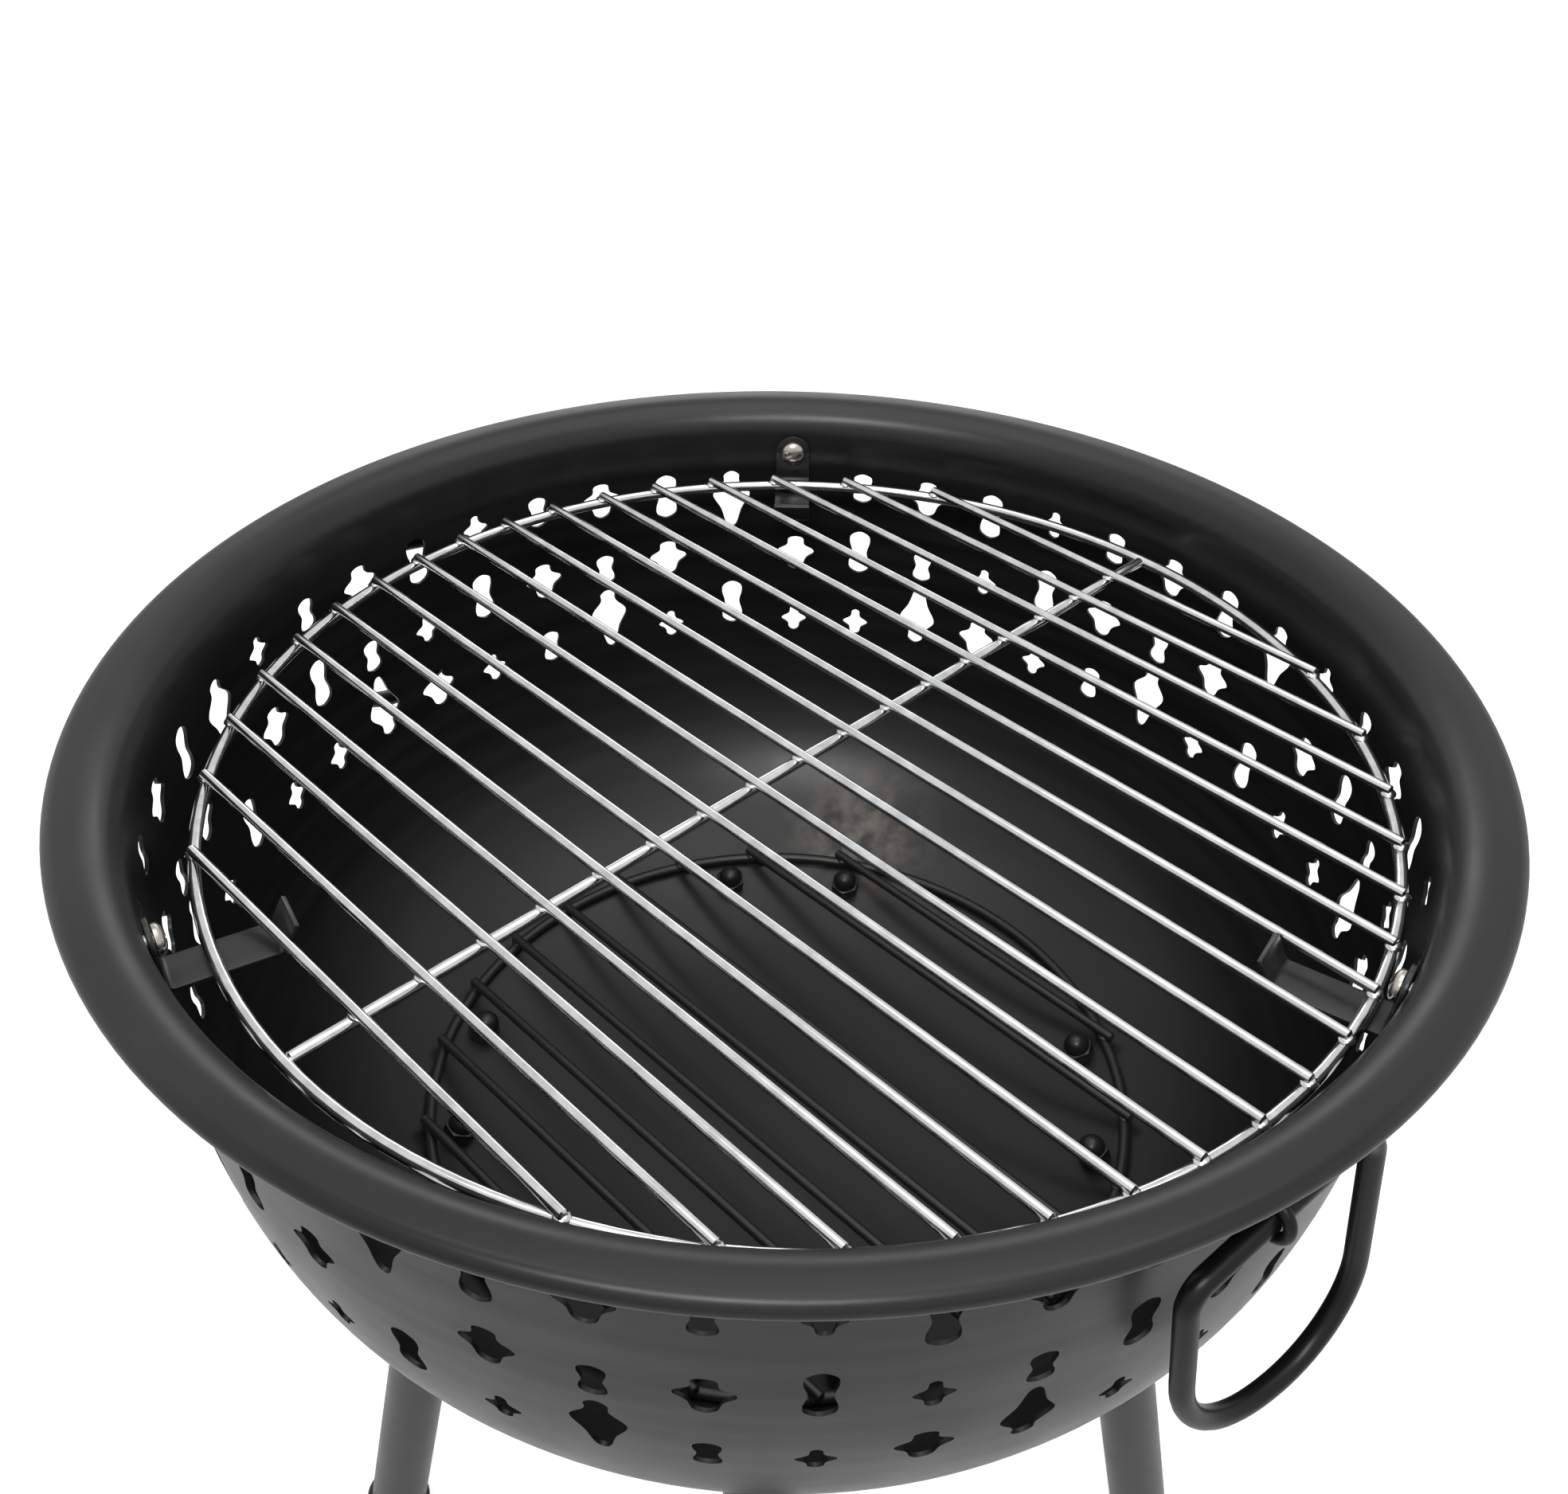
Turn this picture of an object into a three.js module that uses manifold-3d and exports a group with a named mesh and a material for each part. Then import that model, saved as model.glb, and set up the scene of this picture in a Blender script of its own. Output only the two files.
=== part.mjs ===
// Fire pit with a lift-out cooking grate: a pressed steel bowl with a pierced wall and a rolled
// rim, standing on four splayed tube legs, with a charcoal grate at the bottom, a chromed cooking
// grate on three wall brackets and two drop handles under the rim.
// Millimetres, +Z up. The origin is on the floor, on the axis of the bowl.
import * as THREE from 'three';
import { mergeVertices } from 'three/addons/utils/BufferGeometryUtils.js';
import Module from 'manifold-3d';

const wasm = await Module();
wasm.setup();

const TURN = 2 * Math.PI;
const DEG = Math.PI / 180;

// ---------------------------------------------------------------- driving dimensions
const GAP = 0.3;                  // free space between two pieces that touch

// bowl
const RIM_TOP = 634;              // top of the rim above the floor
const BOWL_RADIUS = 243;          // outside of the wall, just under the rim
const RIM_WIDTH = 24;             // from the outside of the wall over the rolled edge
const BEAD = 3.6;                 // half the height of the rolled edge
const ROLL_RADIUS = 9;            // where the flange turns down into the wall
const BOWL_DEPTH = 247;           // rim top to the underside of the bottom
const SHEET = 1.5;                // steel sheet of the bowl
const WALL_SQUARENESS = 2.9;      // exponents of the super-ellipse of the wall's section
const FLOOR_SQUARENESS = 3.9;
const BOWL_SIDES = 45;            // facets round the bowl
const WALL_RINGS = 10;            // facets down the wall and across the bottom

// piercing: the same nine columns repeat five times round the wall
const COLUMN_PITCH = 8;           // degrees from column to column
const FIRST_COLUMN = 26.4;        // direction of a column that starts the repeat
const ROW_LINES = [34, 91, 127];  // rim top to the line that each row hangs from or stands on

// cooking grate
const GRATE_DROP = 35;            // rim top to the middle of the grate's ring
const GRATE_MARGIN = 16.2;        // outside of the wall to the centre line of the ring
const GRATE_RING_WIRE = 5;
const GRATE_BAR_WIRE = 4;
const GRATE_BAR_PITCH = 25;
const GRATE_BARS = 17;
const GRATE_OVERHANG = 0.6;       // bar ends past the ring's centre line
const GRATE_ASIDE = 4;            // how far the loose grate lies off the axis, across its bars
const GRATE_ALONG = 3.2;          // and along its bars

// charcoal grate
const COAL_MARGIN = 11;           // bolt circle of the legs to the centre line of the ring
const COAL_RING_WIRE = 5;
const COAL_BAR_WIRE = 4.5;
const COAL_BAR_PITCH = 33;
const COAL_BARS = 9;
const COAL_OVERHANG = 2.5;

const BAR_DIRECTION = -44;        // direction of the bars of both grates, degrees
const WELD_DEPTH = 0.6;           // how far welded wires sink into each other

// brackets of the cooking grate
const BRACKET_DIRECTIONS = [91, 211.2, 328.6];
const STRIP_WIDTH = 17;
const STRIP_THICKNESS = 2;
const STRIP_BEND = 3.5;           // bend radius at the middle of the strip
const SHELF_REACH = 43.2;         // outside of the wall to the fold between shelf and lip
const LIP_LENGTH = 11.7;
const LIP_LEAN = 28;              // degrees from upright, towards the axis
const SCREW_RISE = 12.5;          // screw above the middle of the grate's ring

// legs
const LEGS = 4;
const LEG_DIAMETER = 32;
const LEG_WALL = 1.5;
const LEG_SPLAY = 11.5;           // degrees from upright
const LEG_FOOT_RADIUS = 230;      // leg's centre line at the floor, from the axis
const LEG_SIDES = 14;
const CAP_WALL = 2.2;
const CAP_HEIGHT = 26;
const CAP_FLOOR = 5;
const SADDLE_THICKNESS = 3;
const SADDLE_LENGTH = 88;         // along the bowl's circumference
const SADDLE_WIDTH = 40;
const SADDLE_CORNER = 12;
const LEG_BOLT_SPACING = 62;
const LEG_BOLT_CIRCLE = 147;      // radius of the circle the bolts stand on

// fasteners
const HOLE_CLEARANCE = 0.4;       // hole radius beyond the thread's radius
const BORE_CLEARANCE = 0.15;      // nut bore's radius beyond the thread's radius
const LEG_BOLT = { thread: 8, flats: 13, headHeight: 5.3, nutHeight: 6.5, domeHeight: 7 };
const BRACKET_SCREW = { thread: 6, flats: 10, headDiameter: 12, headHeight: 4, nutHeight: 5 };
const RECESS = { length: 6, width: 1.3, depth: 2.4 };

// handles
const HANDLE_ROD = 8;
const HANDLE_DIRECTIONS = [-53.9, 139.6];
const HANDLE_SLIDES = [5.5, 0];   // how far each loop has slid through its eye
const HANDLE_ROLLS = [4, 0];      // degrees that each loop hangs askew
const HANDLE_SWING = 6;           // degrees off plumb, held by friction in the eye
const HANDLE_WIDTH = 77.5;        // centre line of the loop
const HANDLE_DEPTH = 90;
const HANDLE_TOP_BEND = 14;
const HANDLE_LOW_BEND = 38;
const HANDLE_STANDOFF = 4.5;      // free space between the wall and the rod
const HANDLE_DROP = 39;           // rim top to the middle of the eye
const EYE_WIRE = 5;
const EYE_PLAY = 1.5;             // free space round the rod in its eye

// ---------------------------------------------------------------- derived places
const RIM_RADIUS = BOWL_RADIUS + RIM_WIDTH;
const GRATE_RADIUS = BOWL_RADIUS - GRATE_MARGIN;
const COAL_RADIUS = LEG_BOLT_CIRCLE + COAL_MARGIN;
const SHELF_TIP = BOWL_RADIUS - SHELF_REACH;
const HANDLE_RADIUS = BOWL_RADIUS + HANDLE_STANDOFF + HANDLE_ROD / 2;
const GRATE_LEVEL = RIM_TOP - GRATE_DROP;
const WALL_TOP = RIM_TOP - ROLL_RADIUS;
const WALL_DEPTH = BOWL_DEPTH - ROLL_RADIUS;
const SHELF_LEVEL = GRATE_LEVEL - GRATE_RING_WIRE / 2 - GAP;
const STRIP_BOW = STRIP_WIDTH ** 2 / (8 * BOWL_RADIUS);
const STRIP_SEAT = (BOWL_RADIUS - SHEET) * Math.cos(Math.PI / BOWL_SIDES) - STRIP_BOW - GAP;
const SCREW_LEVEL = GRATE_LEVEL + SCREW_RISE;
const FIRST_FACET = (FIRST_COLUMN + 180 / BOWL_SIDES) * DEG;
const LEG_BOLT_ANGLE = Math.asin(LEG_BOLT_SPACING / 2 / LEG_BOLT_CIRCLE) / DEG;

// ---------------------------------------------------------------- materials
const paint = (name, color, roughness, metalness) =>
  new THREE.MeshStandardMaterial({ name, color, roughness, metalness });
const BOWL_BLACK = paint('bowl enamel', 0x3a393a, 0.5, 0.4);
const LEG_BLACK = paint('leg powder coat', 0x3c3b3a, 0.45, 0.4);
const HARDWARE_BLACK = paint('blackened steel', 0x2a2a2b, 0.4, 0.7);
const GRATE_CHROME = paint('chrome wire', 0xd9dcdf, 0.15, 1);
const GRATE_BLACK = paint('black wire', 0x3a3a3a, 0.45, 0.6);
const NICKEL = paint('dark nickel', 0x8f8a82, 0.25, 1);
const CAP_PLASTIC = paint('foot plastic', 0x161616, 0.7, 0);

// ---------------------------------------------------------------- solids
// A manifold from a closed three.js geometry.
function solid(geometry) {
  const bare = geometry.clone();
  bare.deleteAttribute('normal');
  bare.deleteAttribute('uv');
  const merged = mergeVertices(bare, 1e-4);
  const index = merged.getIndex().array;
  const triangles = [];
  for (let i = 0; i < index.length; i += 3) {
    const [a, b, c] = [index[i], index[i + 1], index[i + 2]];
    if (a !== b && b !== c && c !== a) triangles.push(a, b, c);
  }
  return new wasm.Manifold(new wasm.Mesh({
    numProp: 3,
    vertProperties: new Float32Array(merged.getAttribute('position').array),
    triVerts: new Uint32Array(triangles),
  }));
}

// The geometry of a manifold, without the edges that its booleans left inside flat faces.
function geometryOf(manifold) {
  const mesh = manifold.asOriginal().simplify(0.01).getMesh();
  const geometry = new THREE.BufferGeometry();
  geometry.setAttribute('position', new THREE.BufferAttribute(mesh.vertProperties, 3));
  geometry.setIndex(new THREE.BufferAttribute(mesh.triVerts, 1));
  geometry.computeVertexNormals();
  return geometry;
}

// A ring or disc turned about Z from a section of [radius, height] points, drawn anticlockwise.
function turned(section, sides, firstFacet = 0) {
  const points = section.map(([radius, height]) => new THREE.Vector2(radius, height));
  const closed = section[0][0] > 0 ? [...points, points[0]] : points;
  return new THREE.LatheGeometry(closed, sides, firstFacet + Math.PI / 2, TURN).rotateX(Math.PI / 2);
}

function rod(radius, length, sides) {
  return turned([[0, 0], [radius, 0], [radius, length], [0, length]], sides);
}

// A round wire along a curve, as an extruded polygon.
function wire(curve, diameter, steps, sides) {
  const section = new THREE.Shape();
  for (let i = 0; i < sides; i += 1) {
    const angle = (i + 0.5) * TURN / sides;
    const point = [diameter / 2 * Math.cos(angle), diameter / 2 * Math.sin(angle)];
    if (i === 0) section.moveTo(...point);
    else section.lineTo(...point);
  }
  section.closePath();
  return new THREE.ExtrudeGeometry(section, { extrudePath: curve, steps });
}

function box(sizeX, sizeY, sizeZ, centre) {
  return new THREE.BoxGeometry(sizeX, sizeY, sizeZ).translate(...centre);
}

// A prism from height zero upwards on an outline of [x, y] points, drawn either way round.
function extruded(outline, height) {
  const shape = new THREE.Shape(outline.map(([x, y]) => new THREE.Vector2(x, y)));
  return new THREE.ExtrudeGeometry(shape, { depth: height, bevelEnabled: false });
}

function hexPrism(flats, height) {
  return turned([[0, 0], [flats / Math.sqrt(3), 0], [flats / Math.sqrt(3), height], [0, height]], 6);
}

function named(name, geometry, material) {
  const mesh = new THREE.Mesh(geometry, material.clone());
  mesh.name = name;
  return mesh;
}

// A group turned to a direction round the bowl, in degrees; its own +X points outwards.
function facing(direction, ...children) {
  const group = new THREE.Group();
  group.rotation.z = direction * DEG;
  group.add(...children);
  return group;
}

// ---------------------------------------------------------------- paths and sections
// A path through given points, in equal steps of its parameter.
class Polyline extends THREE.Curve {
  constructor(points) {
    super();
    this.points = points;
  }

  getPoint(t) {
    const place = Math.min(Math.max(t, 0), 1) * (this.points.length - 1);
    const i = Math.min(Math.floor(place), this.points.length - 2);
    return this.points[i].clone().lerp(this.points[i + 1], place - i);
  }

  getUtoTmapping(u) {
    return u;
  }
}

// Points of an arc; angles in degrees.
function arc(centre, radius, from, to, steps) {
  const points = [];
  for (let i = 0; i <= steps; i += 1) {
    const angle = (from + (to - from) * i / steps) * DEG;
    points.push([centre[0] + radius * Math.cos(angle), centre[1] + radius * Math.sin(angle)]);
  }
  return points;
}

// Moves every point of an open section sideways; positive is to the left of its run.
function shifted(points, distance) {
  return points.map((point, i) => {
    const before = points[Math.max(i - 1, 0)];
    const after = points[Math.min(i + 1, points.length - 1)];
    const run = [after[0] - before[0], after[1] - before[1]];
    const length = Math.hypot(...run);
    const radius = point[0] - distance * run[1] / length;
    return [Math.max(radius, 0), point[1] + distance * run[0] / length];
  });
}

// ---------------------------------------------------------------- the bowl's section
// Outside of the bowl from the middle of the bottom up to the top of the wall.
function wallSection() {
  const points = [];
  for (let i = WALL_RINGS; i >= 0; i -= 1) {
    const angle = (Math.PI / 2) * (i / WALL_RINGS) ** 1.5;
    points.push([
      BOWL_RADIUS * Math.max(Math.cos(angle), 0) ** (2 / WALL_SQUARENESS),
      WALL_TOP - WALL_DEPTH * Math.sin(angle) ** (2 / FLOOR_SQUARENESS),
    ]);
  }
  points[0][0] = 0;
  return points;
}

// Height and slope, in radians, of the outside of the bottom at a radius.
function bottomAt(radius) {
  const section = wallSection();
  const i = section.findIndex(([r]) => r > radius);
  const [[r0, z0], [r1, z1]] = [section[i - 1], section[i]];
  const climb = (z1 - z0) / (r1 - r0);
  return { height: z0 + climb * (radius - r0), slope: Math.atan(climb) };
}

// The space between two surfaces that follow the outside of the bowl at given distances below it.
function bowlLayer(near, far) {
  const outside = wallSection();
  return turned([...shifted(outside, -far), ...shifted(outside, -near).reverse()], BOWL_SIDES, FIRST_FACET);
}

// ---------------------------------------------------------------- piercing
// Right half of each opening from its top to its bottom, as shares of half its width and height.
const LEAF = { width: 19, height: 32, right: [[0.3, 1], [1, 0.2], [0.2, -1]] };
const HOURGLASS = { width: 11.5, height: 24, right: [[0.6, 1], [1, 0.6], [0.6, 0], [1, -0.6], [0.6, -1]] };
const SMALL_HOURGLASS = { width: 10, height: 16, right: [[0.85, 1], [0.5, 0], [0.85, -1]] };
const STAR = {
  width: 19,
  height: 19,
  right: [[0.25, 1], [0.45, 0.4], [1, 0.2], [1, -0.2], [0.45, -0.4], [0.25, -1]],
};
const SMALL_STAR = { width: 13, height: 14, right: [[0, 1], [0.4, 0.4], [1, 0], [0.4, -0.4], [0, -1]] };

// Nine columns of three; the first has two openings only. The top row hangs from its line.
const ROWS = [
  [LEAF, HOURGLASS, STAR, SMALL_HOURGLASS, SMALL_STAR, HOURGLASS, STAR, SMALL_HOURGLASS, SMALL_STAR],
  [null, STAR, SMALL_HOURGLASS, STAR, HOURGLASS, SMALL_STAR, SMALL_HOURGLASS, HOURGLASS, STAR],
  [HOURGLASS, SMALL_STAR, LEAF, SMALL_HOURGLASS, SMALL_STAR, STAR, LEAF, SMALL_STAR, SMALL_STAR],
];

// A prism through the wall at height zero, pointing outwards along +X.
function piercingCutter({ width, height, right }) {
  const left = right.filter(([x]) => x > 0).map(([x, y]) => [-x, y]).reverse();
  const outline = [...right, ...left].map(([x, y]) => new THREE.Vector2(x * width / 2, y * height / 2));
  const cutter = new THREE.ExtrudeGeometry(new THREE.Shape(outline), { depth: 60, bevelEnabled: false });
  return cutter.rotateX(Math.PI / 2).rotateZ(Math.PI / 2).translate(BOWL_RADIUS - 40, 0, 0);
}

function piercings() {
  const cutters = [];
  for (let column = 0; column < 360 / COLUMN_PITCH; column += 1) {
    ROWS.forEach((row, level) => {
      const shape = row[column % row.length];
      if (shape === null) return;
      const side = level === 0 ? -1 : 1;
      const middle = RIM_TOP - ROW_LINES[level] + side * shape.height / 2;
      const direction = (FIRST_COLUMN + column * COLUMN_PITCH) * DEG;
      cutters.push(piercingCutter(shape).rotateZ(direction).translate(0, 0, middle));
    });
  }
  return cutters;
}

// ---------------------------------------------------------------- bowl
function bowlShell() {
  const outside = wallSection();
  const inside = shifted(outside, SHEET).reverse();
  const rollCentre = [BOWL_RADIUS + ROLL_RADIUS - SHEET, WALL_TOP];
  const beadCentre = [RIM_RADIUS - BEAD, RIM_TOP - BEAD];
  const beadJoin = 180 - Math.asin((BEAD - SHEET) / BEAD) / DEG;
  const section = [
    ...outside,
    ...arc(rollCentre, ROLL_RADIUS - SHEET, 180, 90, 2).slice(1),
    ...arc(beadCentre, BEAD, beadJoin, 450, 5),
    ...arc(rollCentre, ROLL_RADIUS, 90, 180, 3).slice(0, -1),
    ...inside,
  ];
  return turned(section, BOWL_SIDES, FIRST_FACET);
}

// Moves a shape from a leg bolt's own frame, on the outside of the bowl, to the leg's frame.
function atLegBolt(geometry, side) {
  const { height, slope } = bottomAt(LEG_BOLT_CIRCLE);
  return geometry.rotateY(-slope).translate(LEG_BOLT_CIRCLE, 0, height).rotateZ(side * LEG_BOLT_ANGLE * DEG);
}

function legBoltHole(side) {
  return atLegBolt(rod(LEG_BOLT.thread / 2 + HOLE_CLEARANCE, 40, 8).translate(0, 0, -20), side);
}

function screwHole() {
  const hole = rod(BRACKET_SCREW.thread / 2 + HOLE_CLEARANCE, 40, 8).translate(0, 0, -20);
  return hole.rotateY(Math.PI / 2).translate(BOWL_RADIUS, 0, SCREW_LEVEL);
}

function bowl() {
  const cutters = piercings();
  for (let leg = 0; leg < LEGS; leg += 1) {
    const turn = leg * TURN / LEGS;
    cutters.push(legBoltHole(-1).rotateZ(turn), legBoltHole(1).rotateZ(turn));
  }
  for (const direction of BRACKET_DIRECTIONS) cutters.push(screwHole().rotateZ(direction * DEG));
  const pierced = cutters.reduce((body, cutter) => body.subtract(solid(cutter)), solid(bowlShell()));
  return named('bowl', geometryOf(pierced), BOWL_BLACK);
}

// ---------------------------------------------------------------- grates
// A ring with straight bars welded across its top; a ring has its middle at height zero.
function weldedGrate({ radius, ringWire, barWire, pitch, bars, overhang, sides }) {
  const ring = turned(arc([radius, 0], ringWire / 2, 30, 330, 5), sides);
  const wires = [];
  for (let i = 0; i < bars; i += 1) {
    const across = (i - (bars - 1) / 2) * pitch;
    const half = Math.sqrt((radius + overhang) ** 2 - across ** 2);
    const level = (ringWire + barWire) / 2 - WELD_DEPTH;
    wires.push(rod(barWire / 2, 2 * half, 6).rotateY(Math.PI / 2).translate(-half, across, level));
  }
  return wires.reduce((body, bar) => body.add(solid(bar)), solid(ring));
}

function cookingGrate() {
  const grate = weldedGrate({
    radius: GRATE_RADIUS,
    ringWire: GRATE_RING_WIRE,
    barWire: GRATE_BAR_WIRE,
    pitch: GRATE_BAR_PITCH,
    bars: GRATE_BARS,
    overhang: GRATE_OVERHANG,
    sides: 48,
  });
  const half = GRATE_RADIUS - GRATE_RING_WIRE / 2 + WELD_DEPTH;
  const tie = rod(GRATE_RING_WIRE / 2, 2 * half, 6).rotateX(Math.PI / 2).translate(0, half, 0);
  const mesh = named('cooking_grate', geometryOf(grate.add(solid(tie))), GRATE_CHROME);
  mesh.position.set(GRATE_ALONG, GRATE_ASIDE, GRATE_LEVEL);
  return facing(BAR_DIRECTION, mesh);
}

function charcoalGrate() {
  const grate = weldedGrate({
    radius: COAL_RADIUS,
    ringWire: COAL_RING_WIRE,
    barWire: COAL_BAR_WIRE,
    pitch: COAL_BAR_PITCH,
    bars: COAL_BARS,
    overhang: COAL_OVERHANG,
    sides: 40,
  });
  const { height, slope } = bottomAt(COAL_RADIUS);
  const mesh = named('charcoal_grate', geometryOf(grate), GRATE_BLACK);
  mesh.position.z = height + (SHEET + GAP + COAL_RING_WIRE / 2) / Math.cos(slope);
  return facing(BAR_DIRECTION, mesh);
}

// ---------------------------------------------------------------- brackets of the cooking grate
// A strip bent to an upright leg, a shelf and a lip, with its upper end rounded about the screw.
function bracket(i) {
  const upright = STRIP_SEAT - STRIP_THICKNESS / 2;
  const shelf = SHELF_LEVEL - STRIP_THICKNESS / 2;
  const lean = LIP_LEAN * DEG;
  const fold = SHELF_TIP + STRIP_BEND * Math.tan((Math.PI / 2 - lean) / 2);
  const path = [
    [upright, SCREW_LEVEL + STRIP_WIDTH],
    ...arc([upright - STRIP_BEND, shelf + STRIP_BEND], STRIP_BEND, 0, -90, 3),
    ...arc([fold, shelf + STRIP_BEND], STRIP_BEND, 270, 180 + LIP_LEAN, 2),
    [SHELF_TIP - LIP_LENGTH * Math.sin(lean), shelf + LIP_LENGTH * Math.cos(lean)],
  ];
  const half = STRIP_THICKNESS / 2;
  const strip = extruded([...shifted(path, half), ...shifted(path, -half).reverse()], STRIP_WIDTH);
  strip.rotateX(Math.PI / 2).translate(0, STRIP_WIDTH / 2, 0);
  const bottom = SHELF_LEVEL - STRIP_WIDTH;
  const front = arc([0, SCREW_LEVEL], STRIP_WIDTH / 2, 0, 180, 6);
  const trim = extruded([...front, [-STRIP_WIDTH / 2, bottom], [STRIP_WIDTH / 2, bottom]], BOWL_RADIUS);
  trim.rotateX(Math.PI / 2).rotateZ(Math.PI / 2);
  const body = solid(strip).intersect(solid(trim)).subtract(solid(screwHole()));
  return named(`bracket_${i + 1}`, geometryOf(body), HARDWARE_BLACK);
}

// Turns a fastener whose head looks up so that it looks at the bowl's axis.
function atScrew(mesh, radius) {
  mesh.position.set(radius, 0, SCREW_LEVEL);
  mesh.rotation.y = -Math.PI / 2;
  return mesh;
}

function bracketScrew(i) {
  const { thread, headDiameter, headHeight, nutHeight } = BRACKET_SCREW;
  const radius = headDiameter / 2;
  const crown = [[radius * 0.8, 3], [radius * 0.4, headHeight], [0, headHeight]];
  const head = turned([[0, 0], [radius, 0], [radius, 1.3], ...crown], 12);
  const length = STRIP_THICKNESS + SHEET + nutHeight + 3;
  const shank = rod(thread / 2, length + 1, 8).translate(0, 0, -length);
  let body = solid(head.translate(0, 0, GAP)).add(solid(shank));
  for (const turn of [0, Math.PI / 2]) {
    const middle = GAP + headHeight - RECESS.depth / 2 + 0.1;
    const slot = box(RECESS.length, RECESS.width, RECESS.depth, [0, 0, middle]);
    body = body.subtract(solid(slot.rotateZ(turn + Math.PI / 4)));
  }
  return atScrew(named(`bracket_screw_${i + 1}`, geometryOf(body), NICKEL), STRIP_SEAT - STRIP_THICKNESS);
}

function bracketNut(i) {
  const { thread, flats, nutHeight } = BRACKET_SCREW;
  const bore = rod(thread / 2 + BORE_CLEARANCE, 2 * nutHeight, 8).translate(0, 0, -1.5 * nutHeight);
  const nut = solid(hexPrism(flats, nutHeight).translate(0, 0, -nutHeight)).subtract(solid(bore));
  return atScrew(named(`bracket_nut_${i + 1}`, geometryOf(nut), HARDWARE_BLACK), BOWL_RADIUS + GAP);
}

function bracketSets() {
  return BRACKET_DIRECTIONS.map((direction, i) =>
    facing(direction, bracket(i), bracketScrew(i), bracketNut(i)));
}

// ---------------------------------------------------------------- legs
// All the space round the part above a height, as a large block.
function above(level) {
  const size = 4 * (RIM_RADIUS + RIM_TOP);
  return solid(box(size, size, size, [0, 0, level + size / 2]));
}

// A round bar on the leg's centre line, in the leg's frame, from below the floor to a length.
function onLegAxis(radius, length, sides) {
  const bar = rod(radius, length + 50, sides).translate(0, 0, -50);
  return solid(bar.rotateY(-LEG_SPLAY * DEG).translate(LEG_FOOT_RADIUS, 0, 0));
}

function legTube(name) {
  const radius = LEG_DIAMETER / 2;
  const inside = onLegAxis(radius - LEG_WALL, RIM_TOP, LEG_SIDES);
  const tube = onLegAxis(radius, RIM_TOP, LEG_SIDES).subtract(inside);
  const plateUnderside = shifted(wallSection(), -(SADDLE_THICKNESS + 2 * GAP));
  const overhead = turned([...plateUnderside, [0, RIM_TOP]], BOWL_SIDES, FIRST_FACET);
  const body = tube.intersect(above(CAP_FLOOR + GAP)).subtract(solid(overhead));
  return named(name, geometryOf(body), LEG_BLACK);
}

function legCap(name) {
  const bore = LEG_DIAMETER / 2 + GAP;
  const hollow = onLegAxis(bore, CAP_HEIGHT + 20, LEG_SIDES).intersect(above(CAP_FLOOR));
  const body = onLegAxis(bore + CAP_WALL, CAP_HEIGHT, LEG_SIDES).intersect(above(0)).subtract(hollow);
  return named(name, geometryOf(body), CAP_PLASTIC);
}

// The plate between leg and bowl: a rounded rectangle cut from a layer that follows the bowl.
function legPlate(name) {
  const [halfWidth, halfLength] = [SADDLE_WIDTH / 2, SADDLE_LENGTH / 2];
  const [x, y] = [halfWidth - SADDLE_CORNER, halfLength - SADDLE_CORNER];
  const outline = [
    ...arc([x, y], SADDLE_CORNER, 0, 90, 2),
    ...arc([-x, y], SADDLE_CORNER, 90, 180, 2),
    ...arc([-x, -y], SADDLE_CORNER, 180, 270, 2),
    ...arc([x, -y], SADDLE_CORNER, 270, 360, 2),
  ];
  const { height, slope } = bottomAt(LEG_BOLT_CIRCLE);
  const blank = extruded(outline, 80).translate(0, 0, -40).rotateY(-slope);
  blank.translate(LEG_BOLT_CIRCLE, 0, height);
  const layer = solid(bowlLayer(GAP, GAP + SADDLE_THICKNESS));
  const body = layer.intersect(solid(blank)).subtract(solid(legBoltHole(-1))).subtract(solid(legBoltHole(1)));
  return named(name, geometryOf(body), LEG_BLACK);
}

// Bolt and dome nut share one frame: height zero is the outside of the bowl, up is inwards.
function legBolt(name) {
  const { thread, flats, headHeight, nutHeight } = LEG_BOLT;
  const bearing = -(SADDLE_THICKNESS + 2 * GAP);
  const head = hexPrism(flats, headHeight).translate(0, 0, bearing - headHeight);
  const top = SHEET + GAP + nutHeight;
  const shank = rod(thread / 2, top - bearing + 1, 8).translate(0, 0, bearing - 1);
  return named(name, geometryOf(solid(head).add(solid(shank))), HARDWARE_BLACK);
}

function domeNut(name) {
  const { thread, flats, nutHeight, domeHeight } = LEG_BOLT;
  const radius = flats / 2;
  const dome = turned([
    [0, 1],
    [radius, 1],
    [radius, nutHeight + 1],
    [radius * 0.75, nutHeight + domeHeight * 0.75],
    [0, nutHeight + domeHeight],
  ], 8);
  const bore = rod(thread / 2 + BORE_CLEARANCE, nutHeight + 2, 8).translate(0, 0, -1);
  const body = solid(hexPrism(flats, nutHeight)).add(solid(dome)).subtract(solid(bore));
  return named(name, geometryOf(body.translate([0, 0, SHEET + GAP])), HARDWARE_BLACK);
}

function boltSet(leg, side) {
  const { height, slope } = bottomAt(LEG_BOLT_CIRCLE);
  const seat = new THREE.Group();
  const mark = `${leg + 1}_${side < 0 ? 'a' : 'b'}`;
  seat.position.set(LEG_BOLT_CIRCLE, 0, height);
  seat.rotation.y = -slope;
  seat.add(legBolt(`leg_bolt_${mark}`), domeNut(`dome_nut_${mark}`));
  return facing(side * LEG_BOLT_ANGLE, seat);
}

function legSets() {
  const sets = [];
  for (let leg = 0; leg < LEGS; leg += 1) {
    sets.push(facing(
      leg * 360 / LEGS,
      legTube(`leg_${leg + 1}`),
      legCap(`leg_cap_${leg + 1}`),
      legPlate(`leg_plate_${leg + 1}`),
      boltSet(leg, -1),
      boltSet(leg, 1),
    ));
  }
  return sets;
}

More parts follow.
